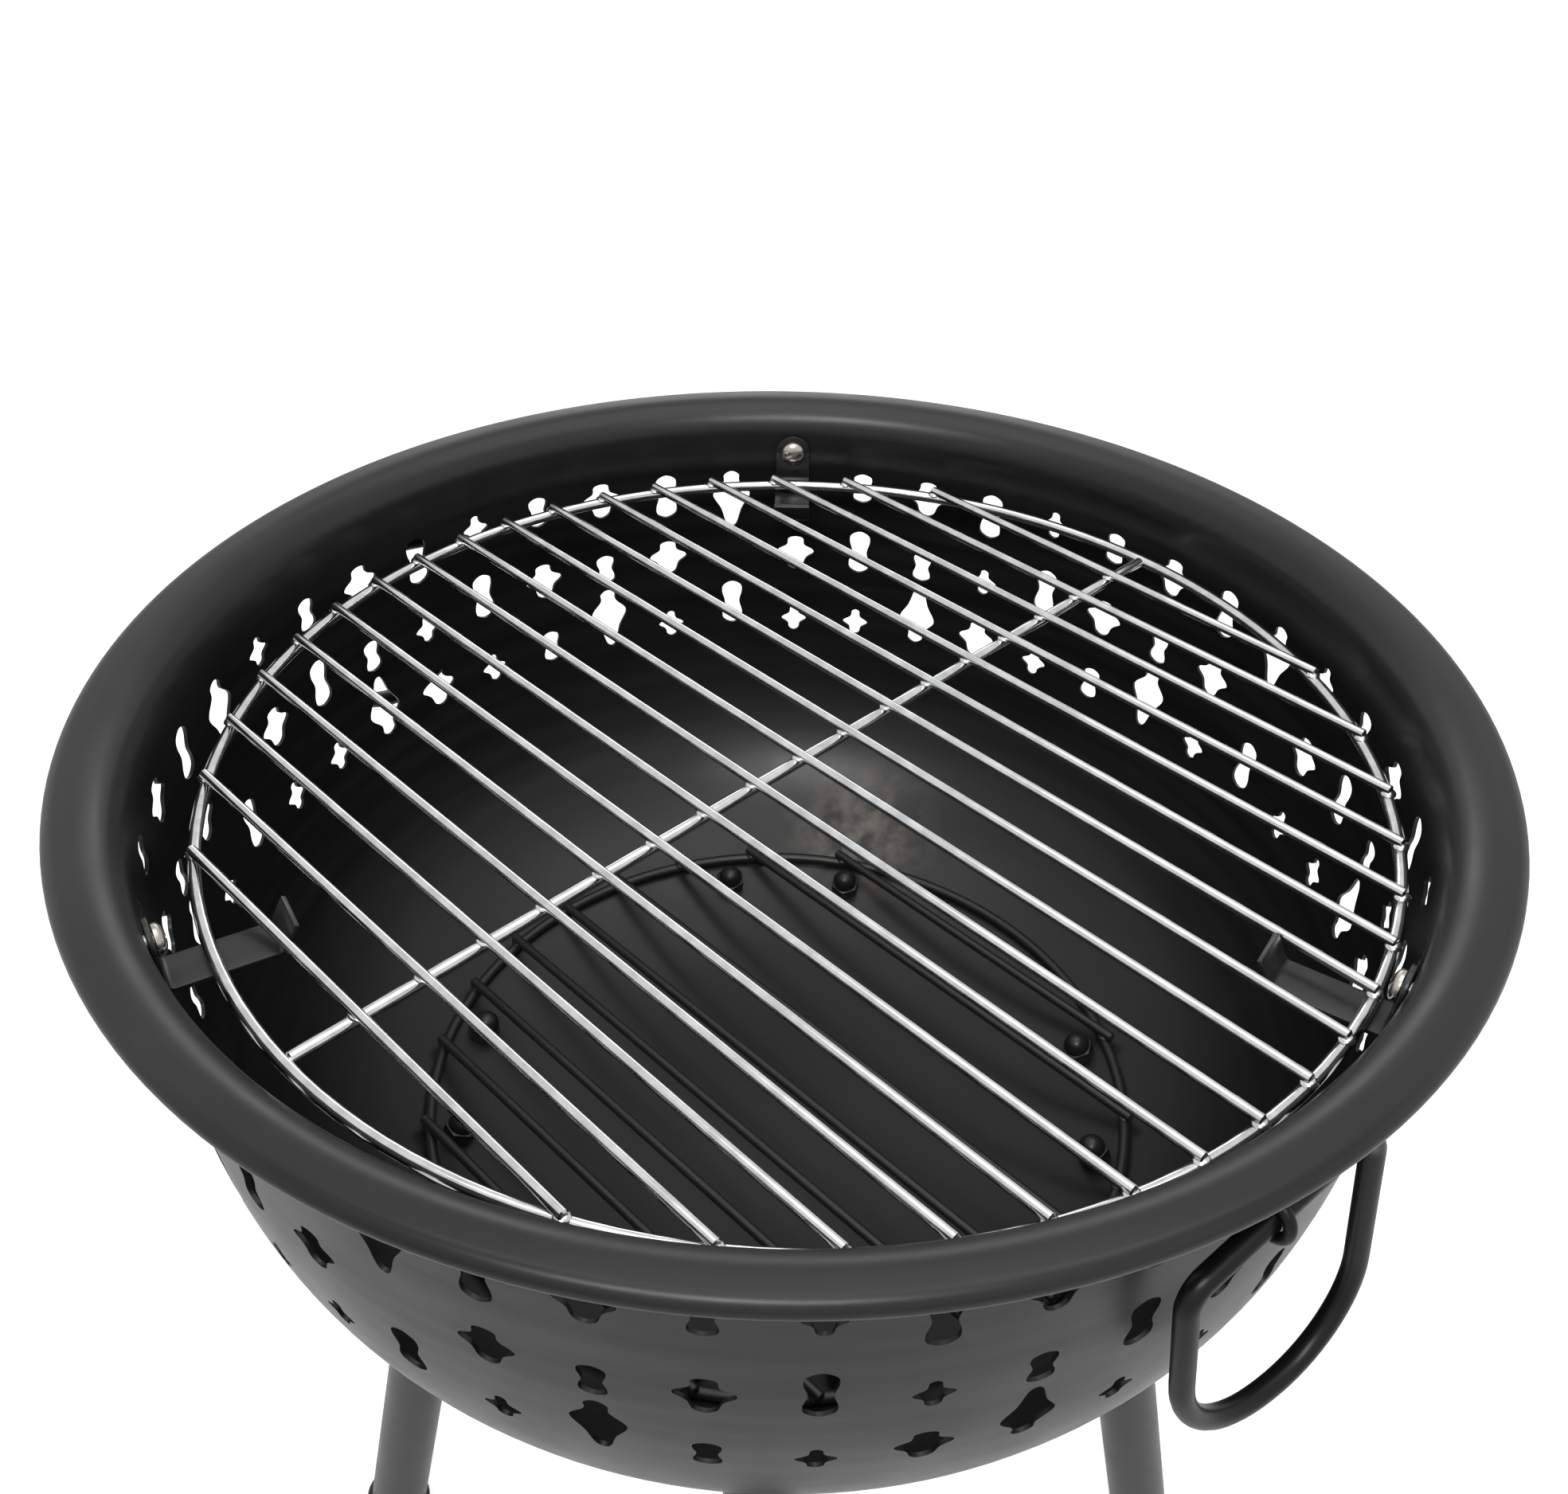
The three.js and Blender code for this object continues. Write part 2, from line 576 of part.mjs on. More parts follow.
// ---------------------------------------------------------------- handles
// The loop in its own plane: bar along +Y at height zero, the rest below it.
function handleLoop(name) {
  const half = HANDLE_WIDTH / 2;
  const [top, low] = [HANDLE_TOP_BEND, HANDLE_LOW_BEND];
  const outline = [
    ...arc([half - top, -top], top, 90, 0, 2),
    ...arc([half - low, low - HANDLE_DEPTH], low, 0, -90, 5),
    ...arc([low - half, low - HANDLE_DEPTH], low, 270, 180, 5),
    ...arc([top - half, -top], top, 180, 90, 2),
  ];
  outline.push(outline[0]);
  const path = new Polyline(outline.map(([y, z]) => new THREE.Vector3(0, y, z)));
  const loop = new THREE.TubeGeometry(path, outline.length - 1, HANDLE_ROD / 2, 8, true);
  return named(name, geometryOf(solid(loop)), LEG_BLACK);
}

// A wire bent round the handle's rod, both ends at the wall.
function handleEye(name) {
  const bend = (HANDLE_ROD + EYE_WIRE) / 2 + EYE_PLAY;
  const wall = BOWL_RADIUS + GAP - HANDLE_RADIUS;
  const outline = [[wall, -bend], ...arc([0, 0], bend, -90, 90, 5), [wall, bend]];
  const path = new Polyline(outline.map(([x, z]) => new THREE.Vector3(x, 0, z)));
  const eye = named(name, wire(path, EYE_WIRE, outline.length - 1, 6), LEG_BLACK);
  eye.position.set(HANDLE_RADIUS, 0, RIM_TOP - HANDLE_DROP);
  return eye;
}

// The loop hangs with its centre of mass under the eye, so a loop that has slid hangs askew.
function handleSet(direction, i) {
  const loop = handleLoop(`handle_${i + 1}`);
  loop.position.y = HANDLE_SLIDES[i];
  const pivot = new THREE.Group();
  pivot.position.set(HANDLE_RADIUS, 0, RIM_TOP - HANDLE_DROP);
  pivot.rotation.set(HANDLE_ROLLS[i] * DEG, -HANDLE_SWING * DEG, 0);
  pivot.add(loop);
  return facing(direction, pivot, handleEye(`handle_eye_${i + 1}`));
}

// ---------------------------------------------------------------- assembly
const group = new THREE.Group();
group.name = 'fire_pit';
group.add(bowl(), cookingGrate(), charcoalGrate(), ...bracketSets(), ...legSets());
group.add(...HANDLE_DIRECTIONS.map(handleSet));

export default group;
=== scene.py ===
"""Fire pit with a lift-out cooking grate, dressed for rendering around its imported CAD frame.

Metres, +Z up, origin on the floor on the axis of the bowl. Every wire, tube, sheet and fastener
of the frame gets a finer piece that replaces it and rides on the same body.
"""

import math

import bmesh
import bpy
from mathutils import Matrix, Vector
from mathutils.geometry import delaunay_2d_cdt


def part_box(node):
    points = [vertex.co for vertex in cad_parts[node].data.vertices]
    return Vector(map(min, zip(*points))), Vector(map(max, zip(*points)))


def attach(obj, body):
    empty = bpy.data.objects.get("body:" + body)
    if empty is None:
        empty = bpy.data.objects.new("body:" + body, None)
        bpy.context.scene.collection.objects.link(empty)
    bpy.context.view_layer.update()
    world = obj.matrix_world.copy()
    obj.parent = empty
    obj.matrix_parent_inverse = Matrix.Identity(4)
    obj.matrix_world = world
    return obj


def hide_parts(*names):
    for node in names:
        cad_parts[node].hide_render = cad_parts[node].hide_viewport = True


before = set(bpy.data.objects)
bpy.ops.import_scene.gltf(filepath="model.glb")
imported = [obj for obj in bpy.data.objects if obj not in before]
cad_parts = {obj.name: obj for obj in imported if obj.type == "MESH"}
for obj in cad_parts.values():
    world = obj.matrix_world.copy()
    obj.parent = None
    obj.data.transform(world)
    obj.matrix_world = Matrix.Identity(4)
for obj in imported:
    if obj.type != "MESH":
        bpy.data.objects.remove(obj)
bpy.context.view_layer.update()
MM = 0.001

# ---------------------------------------------------------------- sizes from the frame
BOWL_LOW, BOWL_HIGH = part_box("bowl")
RIM_TOP = BOWL_HIGH.z
RIM_RADIUS = min(BOWL_HIGH.x, BOWL_HIGH.y, -BOWL_LOW.x, -BOWL_LOW.y)
BOWL_DEPTH = RIM_TOP - BOWL_LOW.z

# ---------------------------------------------------------------- named sizes
# The clearance between pieces that touch, and how near two corners become one.
GAP = 0.3 * MM
MERGE = 0.002 * MM

# Bowl: half the height of its rolled edge, the edge's own curves, the curved step between wall
# and flange, and the powers of its profile.
BEAD = 3.6 * MM
EDGE_ROUND = 5 * MM
EDGE_TURN = 2.4 * MM
ROLL_RADIUS = 9 * MM
ROLL_WIDTH = 15 * MM
ROLL_RISE = 15 * MM
BOWL_RADIUS = 243 * MM
SHEET = 1.5 * MM
WALL_SQUARENESS = 2.9
FLOOR_SQUARENESS = 3.9

# Openings: columns in degrees round the bowl, rows by the height of the line they keep to.
COLUMN_PITCH = 8
COLUMNS_IN_REPEAT = 9
FIRST_COLUMN = 26.4
ROW_LINES = (RIM_TOP - 34 * MM, RIM_TOP - 91 * MM, RIM_TOP - 127 * MM)
BAND_HIGH = RIM_TOP - 28 * MM
BAND_LOW = RIM_TOP - 131 * MM
REPEATS = 360 // (COLUMN_PITCH * COLUMNS_IN_REPEAT)
REPEAT_WIDTH = math.radians(COLUMN_PITCH * COLUMNS_IN_REPEAT) * BOWL_RADIUS
BAND_START = FIRST_COLUMN - COLUMN_PITCH / 2
SIDES_IN_REPEAT = 4 * COLUMNS_IN_REPEAT

# Grates: weld widths and heights are shares of the wire.
BAR_DIRECTION = -44
WELD_SINK = 0.6 * MM
WELD_WIDTH = 0.62
WELD_HEIGHT = 0.3
GRATE_LEVEL = RIM_TOP - 35 * MM
GRATE_RADIUS = 226.8 * MM
GRATE_WIRE = 5 * MM
GRATE_BAR = 4 * MM
GRATE_PITCH = 25 * MM
GRATE_BARS = 17
GRATE_OVERHANG = 0.6 * MM
GRATE_SHIFT = (3.2 * MM, 4 * MM)
TIE_WELD_WIDTH = 0.6
COAL_RADIUS = 158 * MM
COAL_WIRE = 5 * MM
COAL_BAR = 4.5 * MM
COAL_PITCH = 33 * MM
COAL_BARS = 9
COAL_OVERHANG = 2.5 * MM

# Brackets: each is a bent strip with a lip, held by a pan head screw and a nut.
BRACKET_DIRECTIONS = (91, 211.2, 328.6)
STRIP_WIDTH = 17 * MM
STRIP_THICKNESS = 2 * MM
STRIP_BEND = 3.5 * MM
STRIP_EDGE = 0.35 * MM
SHELF_TIP = 199.8 * MM
LIP_LENGTH = 11.7 * MM
LIP_LEAN = 28
SCREW_LEVEL = GRATE_LEVEL + 12.5 * MM
SCREW_RADIUS = 3 * MM
SCREW_LENGTH = 10 * MM
HEAD_RADIUS = 6 * MM
HEAD_HEIGHT = 4 * MM
HEAD_SIDE = 1.3 * MM
HEAD_EDGE = 0.3 * MM
RECESS_LENGTH = 6 * MM
RECESS_WIDTH = 1.1 * MM
RECESS_DEPTH = 2 * MM
SMALL_NUT_FLATS = 10 * MM
SMALL_NUT_HEIGHT = 5 * MM
SMALL_NUT_EDGE = 0.4 * MM

# Legs: tubes that end in caps on the floor and under plates at the bowl.
LEGS = 4
LEG_RADIUS = 16 * MM
LEG_WALL = 1.5 * MM
LEG_SIDES = 40
LEG_SPLAY = math.radians(11.5)
LEG_FOOT_RADIUS = 230 * MM
CAP_WALL = 2.2 * MM
CAP_HEIGHT = 26 * MM
CAP_FLOOR = 5 * MM
CAP_FOOT_EDGE = 1.5 * MM
CAP_LIP_EDGE = 1 * MM
PLATE_LENGTH = 40 * MM
PLATE_WIDTH = 88 * MM
PLATE_THICKNESS = 3 * MM
PLATE_CORNER = 12 * MM
LEG_BOLT_CIRCLE = 147 * MM
LEG_BOLT_ANGLE = math.degrees(math.asin(31 * MM / LEG_BOLT_CIRCLE))
NUT_FLATS = 13 * MM
NUT_HEIGHT = 6.5 * MM
BOLT_HEIGHT = 5.3 * MM
FASTENER_EDGE = 0.5 * MM
DOME_RADIUS = 6 * MM
DOME_FOOT = 5 * MM
DOME_START = 7 * MM
DOME_HEIGHT = 6.5 * MM

# Handles: radii of rod and wire; each handle has its own slide, roll and direction.
HANDLE_ROD = 4 * MM
HANDLE_DIRECTIONS = (-53.9, 139.6)
HANDLE_SLIDES = (5.5 * MM, 0)
HANDLE_ROLLS = (4, 0)
HANDLE_SWING = 6
HANDLE_HALF_WIDTH = 38.75 * MM
HANDLE_DEPTH = 90 * MM
HANDLE_TOP_BEND = 10 * MM
HANDLE_SKEW = 7 * MM
HANDLE_LOW_BEND = 38 * MM
HANDLE_RADIUS = 251.5 * MM
HANDLE_LEVEL = RIM_TOP - 39 * MM
EYE_WIRE = 2.1 * MM
EYE_PLAY = 0.9 * MM

# Dirt and painted light: one stain inside the bowl, and the heights between which painted light sets in,
# paler on the bowl's bottom and on the lower legs.
STAIN = (38 * MM, 173 * MM, 418 * MM)
STAIN_CORE = 8 * MM
STAIN_REACH = 46 * MM
BOTTOM_PAINTED_LIGHT = (400 * MM, 460 * MM)
LEG_PAINTED_LIGHT = (380 * MM, 500 * MM)

# Studio: metres, degrees, and light strengths where 1 is white.
FLOOR_SIZE = 14
FLOOR_DROP = 0.5 * MM
FLOOR_GLOW = 0.3
FLOOR_WHITE = 0.4
WORLD_LIGHT = 0.3
CAMERA_PLACE = (0.0085, -0.5003, RIM_TOP + 0.3525)
CAMERA_HEADING = 1.15
CAMERA_LOOKS_DOWN = 37.23
CAMERA_ROLL = 1.25

# The superellipse of the wall runs from here down to the bowl's lowest point.
WALL_TOP = RIM_TOP - ROLL_RADIUS
WALL_DEPTH = BOWL_DEPTH - ROLL_RADIUS


# ---------------------------------------------------------------- node materials
def link(tree, source, target):
    tree.links.new(source, target)


def new_material(name, color, roughness, metallic=0.0, specular=0.5):
    material = bpy.data.materials.new(name)
    material.use_nodes = True
    shader = material.node_tree.nodes["Principled BSDF"]
    shader.inputs["Base Color"].default_value = (*color, 1)
    shader.inputs["Roughness"].default_value = roughness
    shader.inputs["Metallic"].default_value = metallic
    shader.inputs["Specular IOR Level"].default_value = specular
    return material, material.node_tree, shader


def noise(tree, scale, detail=4.0, stretch=(1, 1, 1)):
    """A noise texture in the object's own space, stretched along its axes."""
    coordinates = tree.nodes.new("ShaderNodeTexCoord")
    mapping = tree.nodes.new("ShaderNodeMapping")
    mapping.inputs["Scale"].default_value = stretch
    texture = tree.nodes.new("ShaderNodeTexNoise")
    texture.inputs["Scale"].default_value = scale
    texture.inputs["Detail"].default_value = detail
    link(tree, coordinates.outputs["Object"], mapping.inputs["Vector"])
    link(tree, mapping.outputs["Vector"], texture.inputs["Vector"])
    return texture.outputs["Fac"]


def span(tree, value, low, high, to_low, to_high):
    """Maps a range of a value to another range, clamped."""
    node = tree.nodes.new("ShaderNodeMapRange")
    for socket, number in zip(node.inputs[1:5], (low, high, to_low, to_high)):
        socket.default_value = number
    link(tree, value, node.inputs[0])
    return node.outputs[0]


def blend_color(tree, factor, *colors):
    """Mixes two colours, each a triple of numbers or a node's output."""
    node = tree.nodes.new("ShaderNodeMix")
    node.data_type = "RGBA"
    for socket, color in zip(node.inputs[6:8], colors):
        if isinstance(color, tuple):
            socket.default_value = (*color, 1)
        else:
            link(tree, color, socket)
    link(tree, factor, node.inputs[0])
    return node.outputs[2]


def bump(tree, shader, height, distance, strength=1.0):
    node = tree.nodes.new("ShaderNodeBump")
    node.inputs["Distance"].default_value = distance
    node.inputs["Strength"].default_value = strength
    link(tree, height, node.inputs["Height"])
    link(tree, node.outputs["Normal"], shader.inputs["Normal"])


def place_in(tree):
    """Position in the row frame, in metres."""
    return tree.nodes.new("ShaderNodeTexCoord").outputs["Object"]


def level_in(tree):
    """Height above the floor, in metres."""
    split = tree.nodes.new("ShaderNodeSeparateXYZ")
    link(tree, place_in(tree), split.inputs[0])
    return split.outputs[2]


def nearness(tree, centre, near, far):
    """1 within a distance of a point, falling to 0 further off."""
    distance = tree.nodes.new("ShaderNodeVectorMath")
    distance.operation = "DISTANCE"
    distance.inputs[1].default_value = centre
    link(tree, place_in(tree), distance.inputs[0])
    return span(tree, distance.outputs["Value"], near, far, 1, 0)


def facing_out(tree):
    """1 on faces that look away from the bowl's axis, and 0 on the others."""
    flat = tree.nodes.new("ShaderNodeVectorMath")
    flat.operation = "MULTIPLY"
    flat.inputs[1].default_value = (1, 1, 0)
    link(tree, place_in(tree), flat.inputs[0])
    product = tree.nodes.new("ShaderNodeVectorMath")
    product.operation = "DOT_PRODUCT"
    link(tree, flat.outputs["Vector"], product.inputs[0])
    link(tree, tree.nodes.new("ShaderNodeTexCoord").outputs["Normal"], product.inputs[1])
    return span(tree, product.outputs["Value"], 0, 0.05, 0, 1)


def times(tree, value_a, value_b):
    node = tree.nodes.new("ShaderNodeMath")
    node.operation = "MULTIPLY"
    link(tree, value_a, node.inputs[0])
    link(tree, value_b, node.inputs[1])
    return node.outputs[0]


def enamel_material():
    """Satin black paint on pressed sheet, streaked outside, paler at the bottom with painted light from
    above, and with one stain.
    """
    material, tree, shader = new_material("bowl_enamel", (0.01, 0.0098, 0.01), 0.34, specular=0.34)
    streaks = span(tree, noise(tree, 5, 4, (1, 1, 26)), 0.36, 0.64, 0, 1)
    inside = blend_color(tree, streaks, (0.006, 0.0058, 0.0065), (0.013, 0.0125, 0.014))
    outside = blend_color(tree, streaks, (0.001, 0.001, 0.001), (0.02, 0.019, 0.0185))
    outwards = facing_out(tree)
    paint = blend_color(tree, outwards, inside, outside)
    # Painted light: the bottom of the bowl is made paler, standing in for the light from above that falls
    # on it.
    bottom = span(tree, level_in(tree), *BOTTOM_PAINTED_LIGHT, 1, 0)
    painted_light = blend_color(tree, bottom, paint, (0.014, 0.0137, 0.014))
    mottle = span(tree, noise(tree, 80, 5), 0.38, 0.62, 0, 1)
    inwards = span(tree, outwards, 0, 1, 1, 0)
    near_stain = times(tree, inwards, nearness(tree, STAIN, STAIN_CORE, STAIN_REACH))
    stain = times(tree, mottle, near_stain)
    color = blend_color(tree, stain, painted_light, (0.15, 0.133, 0.115))
    link(tree, color, shader.inputs["Base Color"])
    link(tree, span(tree, noise(tree, 30, 4), 0.3, 0.7, 0.3, 0.38), shader.inputs["Roughness"])
    bump(tree, shader, noise(tree, 260, 2), 0.00002, 0.35)
    return material


def powder_material():
    """Black powder coat, with painted shade that darkens it high up and painted light from the floor that
    makes the lower legs paler.
    """
    material, tree, shader = new_material("powder_coat", (0.013, 0.0128, 0.0128), 0.34, specular=0.24)
    # Painted light and shade: dark high up, paler low down on the legs, standing in for the light the
    # white floor throws on them.
    painted_light = span(tree, level_in(tree), *LEG_PAINTED_LIGHT, 1, 0)
    color = blend_color(tree, painted_light, (0.005, 0.0048, 0.0048), (0.066, 0.064, 0.063))
    link(tree, color, shader.inputs["Base Color"])
    link(tree, span(tree, noise(tree, 60, 3), 0.3, 0.7, 0.3, 0.38), shader.inputs["Roughness"])
    bump(tree, shader, noise(tree, 420, 2), 0.00002, 0.4)
    return material


def black_steel_material():
    material, tree, shader = new_material("blackened_steel", (0.012, 0.012, 0.0125), 0.33, specular=0.4)
    link(tree, span(tree, noise(tree, 120, 4), 0.3, 0.7, 0.28, 0.4), shader.inputs["Roughness"])
    bump(tree, shader, noise(tree, 400, 3), 0.00002, 0.4)
    return material


def chrome_material():
    """Bright plating on drawn wire, with soft dull spots."""
    material, tree, shader = new_material("chrome_wire", (0.58, 0.585, 0.595), 0.16, metallic=1.0)
    spots = span(tree, noise(tree, 140, 3), 0.35, 0.7, 0, 1)
    color = blend_color(tree, spots, (0.5, 0.505, 0.515), (0.66, 0.665, 0.67))
    link(tree, color, shader.inputs["Base Color"])
    link(tree, span(tree, noise(tree, 60, 3), 0.35, 0.75, 0.12, 0.22), shader.inputs["Roughness"])
    return material


def black_wire_material():
    material, tree, shader = new_material("black_wire", (0.014, 0.014, 0.014), 0.4)
    link(tree, span(tree, noise(tree, 120, 3), 0.3, 0.7, 0.34, 0.46), shader.inputs["Roughness"])
    bump(tree, shader, noise(tree, 500, 2), 0.00002, 0.4)
    return material


def nickel_material():
    material, tree, shader = new_material("dark_nickel", (0.42, 0.39, 0.35), 0.22, metallic=1.0)
    link(tree, span(tree, noise(tree, 250, 4), 0.3, 0.7, 0.16, 0.34), shader.inputs["Roughness"])
    return material


def plastic_material():
    material, tree, shader = new_material("foot_plastic", (0.014, 0.014, 0.014), 0.55)
    link(tree, span(tree, noise(tree, 200, 3), 0.3, 0.7, 0.5, 0.6), shader.inputs["Roughness"])
    bump(tree, shader, noise(tree, 900, 2), 0.00004, 0.6)
    return material


MATERIALS = {
    "bowl_enamel": enamel_material(),
    "powder_coat": powder_material(),
    "blackened_steel": black_steel_material(),
    "chrome_wire": chrome_material(),
    "black_wire": black_wire_material(),
    "dark_nickel": nickel_material(),
    "foot_plastic": plastic_material(),
}


# ---------------------------------------------------------------- mesh tools
def clean_mesh(name, verts, faces):
    """A mesh with its corners merged and its faces looking outwards."""
    mesh = bpy.data.meshes.new(name)
    mesh.from_pydata(verts, [], faces)
    build = bmesh.new()
    build.from_mesh(mesh)
    bmesh.ops.remove_doubles(build, verts=build.verts, dist=MERGE)
    bmesh.ops.recalc_face_normals(build, faces=build.faces)
    build.to_mesh(mesh)
    build.free()
    return mesh


def add_object(name, data):
    thing = bpy.data.objects.new(name, data)
    bpy.context.scene.collection.objects.link(thing)
    return thing


def piece(name, verts, faces, slot, body, replaced, place=Matrix(), sharp=38):
    """A smooth-shaded piece, placed in the row frame, riding on a body in a node's stead."""
    mesh = clean_mesh(name, *moved((verts, faces), place))
    mesh.materials.append(MATERIALS[slot])
    mesh.shade_smooth()
    mesh.set_sharp_from_angle(angle=math.radians(sharp))
    thing = add_object(name, mesh)
    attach(thing, body)
    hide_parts(*replaced)


def joined(*parts):
    """Several (verts, faces) pairs as one."""
    verts, faces = [], []
    for part_verts, part_faces in parts:
        start = len(verts)
        verts += part_verts
        faces += [[start + i for i in face] for face in part_faces]
    return verts, faces


def moved(part, matrix):
    verts, faces = part
    return [matrix @ Vector(v) for v in verts], faces


def arc(centre, radius, start, end, steps):
    """Points of an arc in a plane; angles in degrees."""
    angles = [math.radians(start + (end - start) * i / steps) for i in range(steps + 1)]
    return [(centre[0] + radius * math.cos(a), centre[1] + radius * math.sin(a)) for a in angles]


def sweep(points, radii, sides, closed=False):
    """A round wire through points; radii is one radius, or one for each point."""
    count = len(points)
    points = [Vector(p) for p in points]
    radii = radii if isinstance(radii, (list, tuple)) else [radii] * count
    verts, faces = [], []
    normal = None
    for i, point in enumerate(points):
        before = points[i - 1] if i or closed else point
        after = points[(i + 1) % count] if i < count - 1 or closed else point
        tangent = (after - before).normalized()
        if normal is None:
            normal = tangent.orthogonal().normalized()
        normal = (normal - tangent * normal.dot(tangent)).normalized()
        side = tangent.cross(normal)
        for k in range(sides):
            angle = math.tau * k / sides
            verts.append(point + radii[i] * (math.cos(angle) * normal + math.sin(angle) * side))
    for i in range(count if closed else count - 1):
        for k in range(sides):
            a, b = i * sides + k, i * sides + (k + 1) % sides
            c, d = (b + sides) % len(verts), (a + sides) % len(verts)
            faces.append([a, b, c, d])
    if not closed:
        faces.append(list(range(sides))[::-1])
        faces.append([(count - 1) * sides + k for k in range(sides)])
    return verts, faces


def bar(start, end, radius, sides=14):
    """A straight wire with slightly rounded ends."""
    start, end = Vector(start), Vector(end)
    along = (end - start).normalized()
    soft = 0.25 * radius
    points = [start, start + along * soft, end - along * soft, end]
    return sweep(points, [radius - soft, radius, radius, radius - soft], sides)


def lathe(section, sides):
    """An open section of (radius, height) points turned about Z."""
    verts, faces = [], []
    count = len(section)
    for k in range(sides):
        angle = math.tau * k / sides
        verts += [(r * math.cos(angle), r * math.sin(angle), z) for r, z in section]
    for k in range(sides):
        for i in range(count - 1):
            here = k * count + i
            beside = (k + 1) % sides * count + i
            faces.append([here, beside, beside + 1, here + 1])
    return verts, faces


def prism(outline, low, high):
    """A straight prism on an outline of (x, y) points."""
    count = len(outline)
    verts = [(x, y, low) for x, y in outline] + [(x, y, high) for x, y in outline]
    faces = [[i, (i + 1) % count, count + (i + 1) % count, count + i] for i in range(count)]
    return verts, faces + [list(range(count))[::-1], list(range(count, 2 * count))]


def softened(part, width):
    """The same solid with its sharp edges rounded."""
    mesh = clean_mesh("soft", *part)
    build = bmesh.new()
    build.from_mesh(mesh)
    sharp = math.radians(35)
    edges = [e for e in build.edges if e.is_manifold and e.calc_face_angle() > sharp]
    bmesh.ops.bevel(build, geom=edges, offset=width, segments=2, profile=0.5,
                    affect="EDGES", clamp_overlap=True)
    verts = [v.co.copy() for v in build.verts]
    build.verts.index_update()
    faces = [[v.index for v in f.verts] for f in build.faces]
    build.free()
    bpy.data.meshes.remove(mesh)
    return verts, faces


def about_x(degrees):
    return Matrix.Rotation(math.radians(degrees), 4, "X")


def about_y(degrees):
    return Matrix.Rotation(math.radians(degrees), 4, "Y")


def about_z(degrees):
    return Matrix.Rotation(math.radians(degrees), 4, "Z")


# ---------------------------------------------------------------- the bowl
def wall_radius(z):
    """Outside radius of the wall at a height."""
    fill = 1 - max((WALL_TOP - z) / WALL_DEPTH, 0) ** FLOOR_SQUARENESS
    return BOWL_RADIUS * max(fill, 0) ** (1 / WALL_SQUARENESS)


def bottom_height(radius):
    fill = 1 - (radius / BOWL_RADIUS) ** WALL_SQUARENESS
    return WALL_TOP - WALL_DEPTH * fill ** (1 / FLOOR_SQUARENESS)


def bottom_slope(radius):
    step = 1 * MM
    return math.atan((bottom_height(radius + step) - bottom_height(radius - step)) / (2 * step))


def inside_of(radius, z):
    """The point of the inner face behind a point of the outer face."""
    step = 0.5 * MM
    if radius > 0.8 * BOWL_RADIUS:
        tilt = 0
        if z < WALL_TOP - step:
            tilt = math.atan((wall_radius(z + step) - wall_radius(z - step)) / (2 * step))
        return radius - SHEET * math.cos(tilt), z + SHEET * math.sin(tilt)
    slope = bottom_slope(max(radius, 2 * MM))
    return radius - SHEET * math.sin(slope), z + SHEET * math.cos(slope)


def spline(points, steps=5):
    """A closed Catmull-Rom curve through points."""
    curve = []
    count = len(points)
    for i in range(count):
        p0, p1, p2, p3 = (Vector(points[(i + k) % count]) for k in (-1, 0, 1, 2))
        for k in range(steps):
            t = k / steps
            curve.append(0.5 * (2 * p1 + (p2 - p0) * t + (2 * p0 - 5 * p1 + 4 * p2 - p3) * t * t
                                + (3 * p1 - p0 - 3 * p2 + p3) * t ** 3))
    return curve


# Right half of each outline from its top to its bottom, as shares of half its width and height.
LEAF_LINE = (
    (0, 1), (0.4, 0.87), (0.44, 0.6), (1, 0.18),
    (0.55, -0.35), (0.28, -0.87), (0, -1),
)
HOURGLASS_LINE = (
    (0, 1), (0.8, 0.82), (0.92, 0.48), (0.68, 0),
    (0.92, -0.48), (0.8, -0.82), (0, -1),
)
STAR_LINE = (
    (0, 1), (0.4, 0.88), (0.48, 0.5), (0.92, 0.24),
    (1, 0), (0.58, -0.34), (0.38, -0.82), (0, -1),
)
SMALL_STAR_LINE = (
    (0, 1), (0.3, 0.86), (0.4, 0.42), (0.93, 0.12),
    (1, -0.1), (0.5, -0.42), (0.38, -0.82), (0, -1),
)

# Each opening's width, height and right half.
LEAF = (19 * MM, 32 * MM, LEAF_LINE)
DROP = (19 * MM, 32 * MM, tuple((x, -y) for x, y in reversed(LEAF_LINE)))
HOURGLASS = (11.5 * MM, 24 * MM, HOURGLASS_LINE)
RAISED_HOURGLASS = (11.5 * MM, 24 * MM, tuple((x, y + 0.4) for x, y in HOURGLASS_LINE))
SMALL_HOURGLASS = (10 * MM, 16 * MM, HOURGLASS_LINE)
STAR = (19 * MM, 19 * MM, STAR_LINE)
SMALL_STAR = (13 * MM, 14 * MM, SMALL_STAR_LINE)

# The openings of one repeat, from the top row to the lowest.
ROWS = (
    (LEAF, HOURGLASS, STAR, SMALL_HOURGLASS, SMALL_STAR, HOURGLASS, STAR, SMALL_HOURGLASS, SMALL_STAR),
    (None, STAR, SMALL_HOURGLASS, STAR, HOURGLASS, SMALL_STAR, SMALL_HOURGLASS, HOURGLASS, STAR),
    (RAISED_HOURGLASS, SMALL_STAR, LEAF, SMALL_HOURGLASS, SMALL_STAR, STAR, DROP, SMALL_STAR, SMALL_STAR),
)


def opening_outlines():
    """Outlines of one repeat, as (distance round the wall, height) points.

    The top row hangs from its line, and the others stand on theirs.
    """
    outlines = []
    pitch = math.radians(COLUMN_PITCH) * BOWL_RADIUS
    for row, line in zip(ROWS, ROW_LINES):
        side = -1 if row is ROWS[0] else 1
        for column, shape in enumerate(row):
            if shape is None:
                continue
            width, height, right = shape
            left = [(-x, y) for x, y in reversed(right) if x > 0]
            points = [(x * width / 2, y * height / 2) for x, y in list(right) + left]
            centre = Vector(((column + 0.5) * pitch, line + side * height / 2))
            outlines.append([p + centre for p in spline(points)])
    return outlines


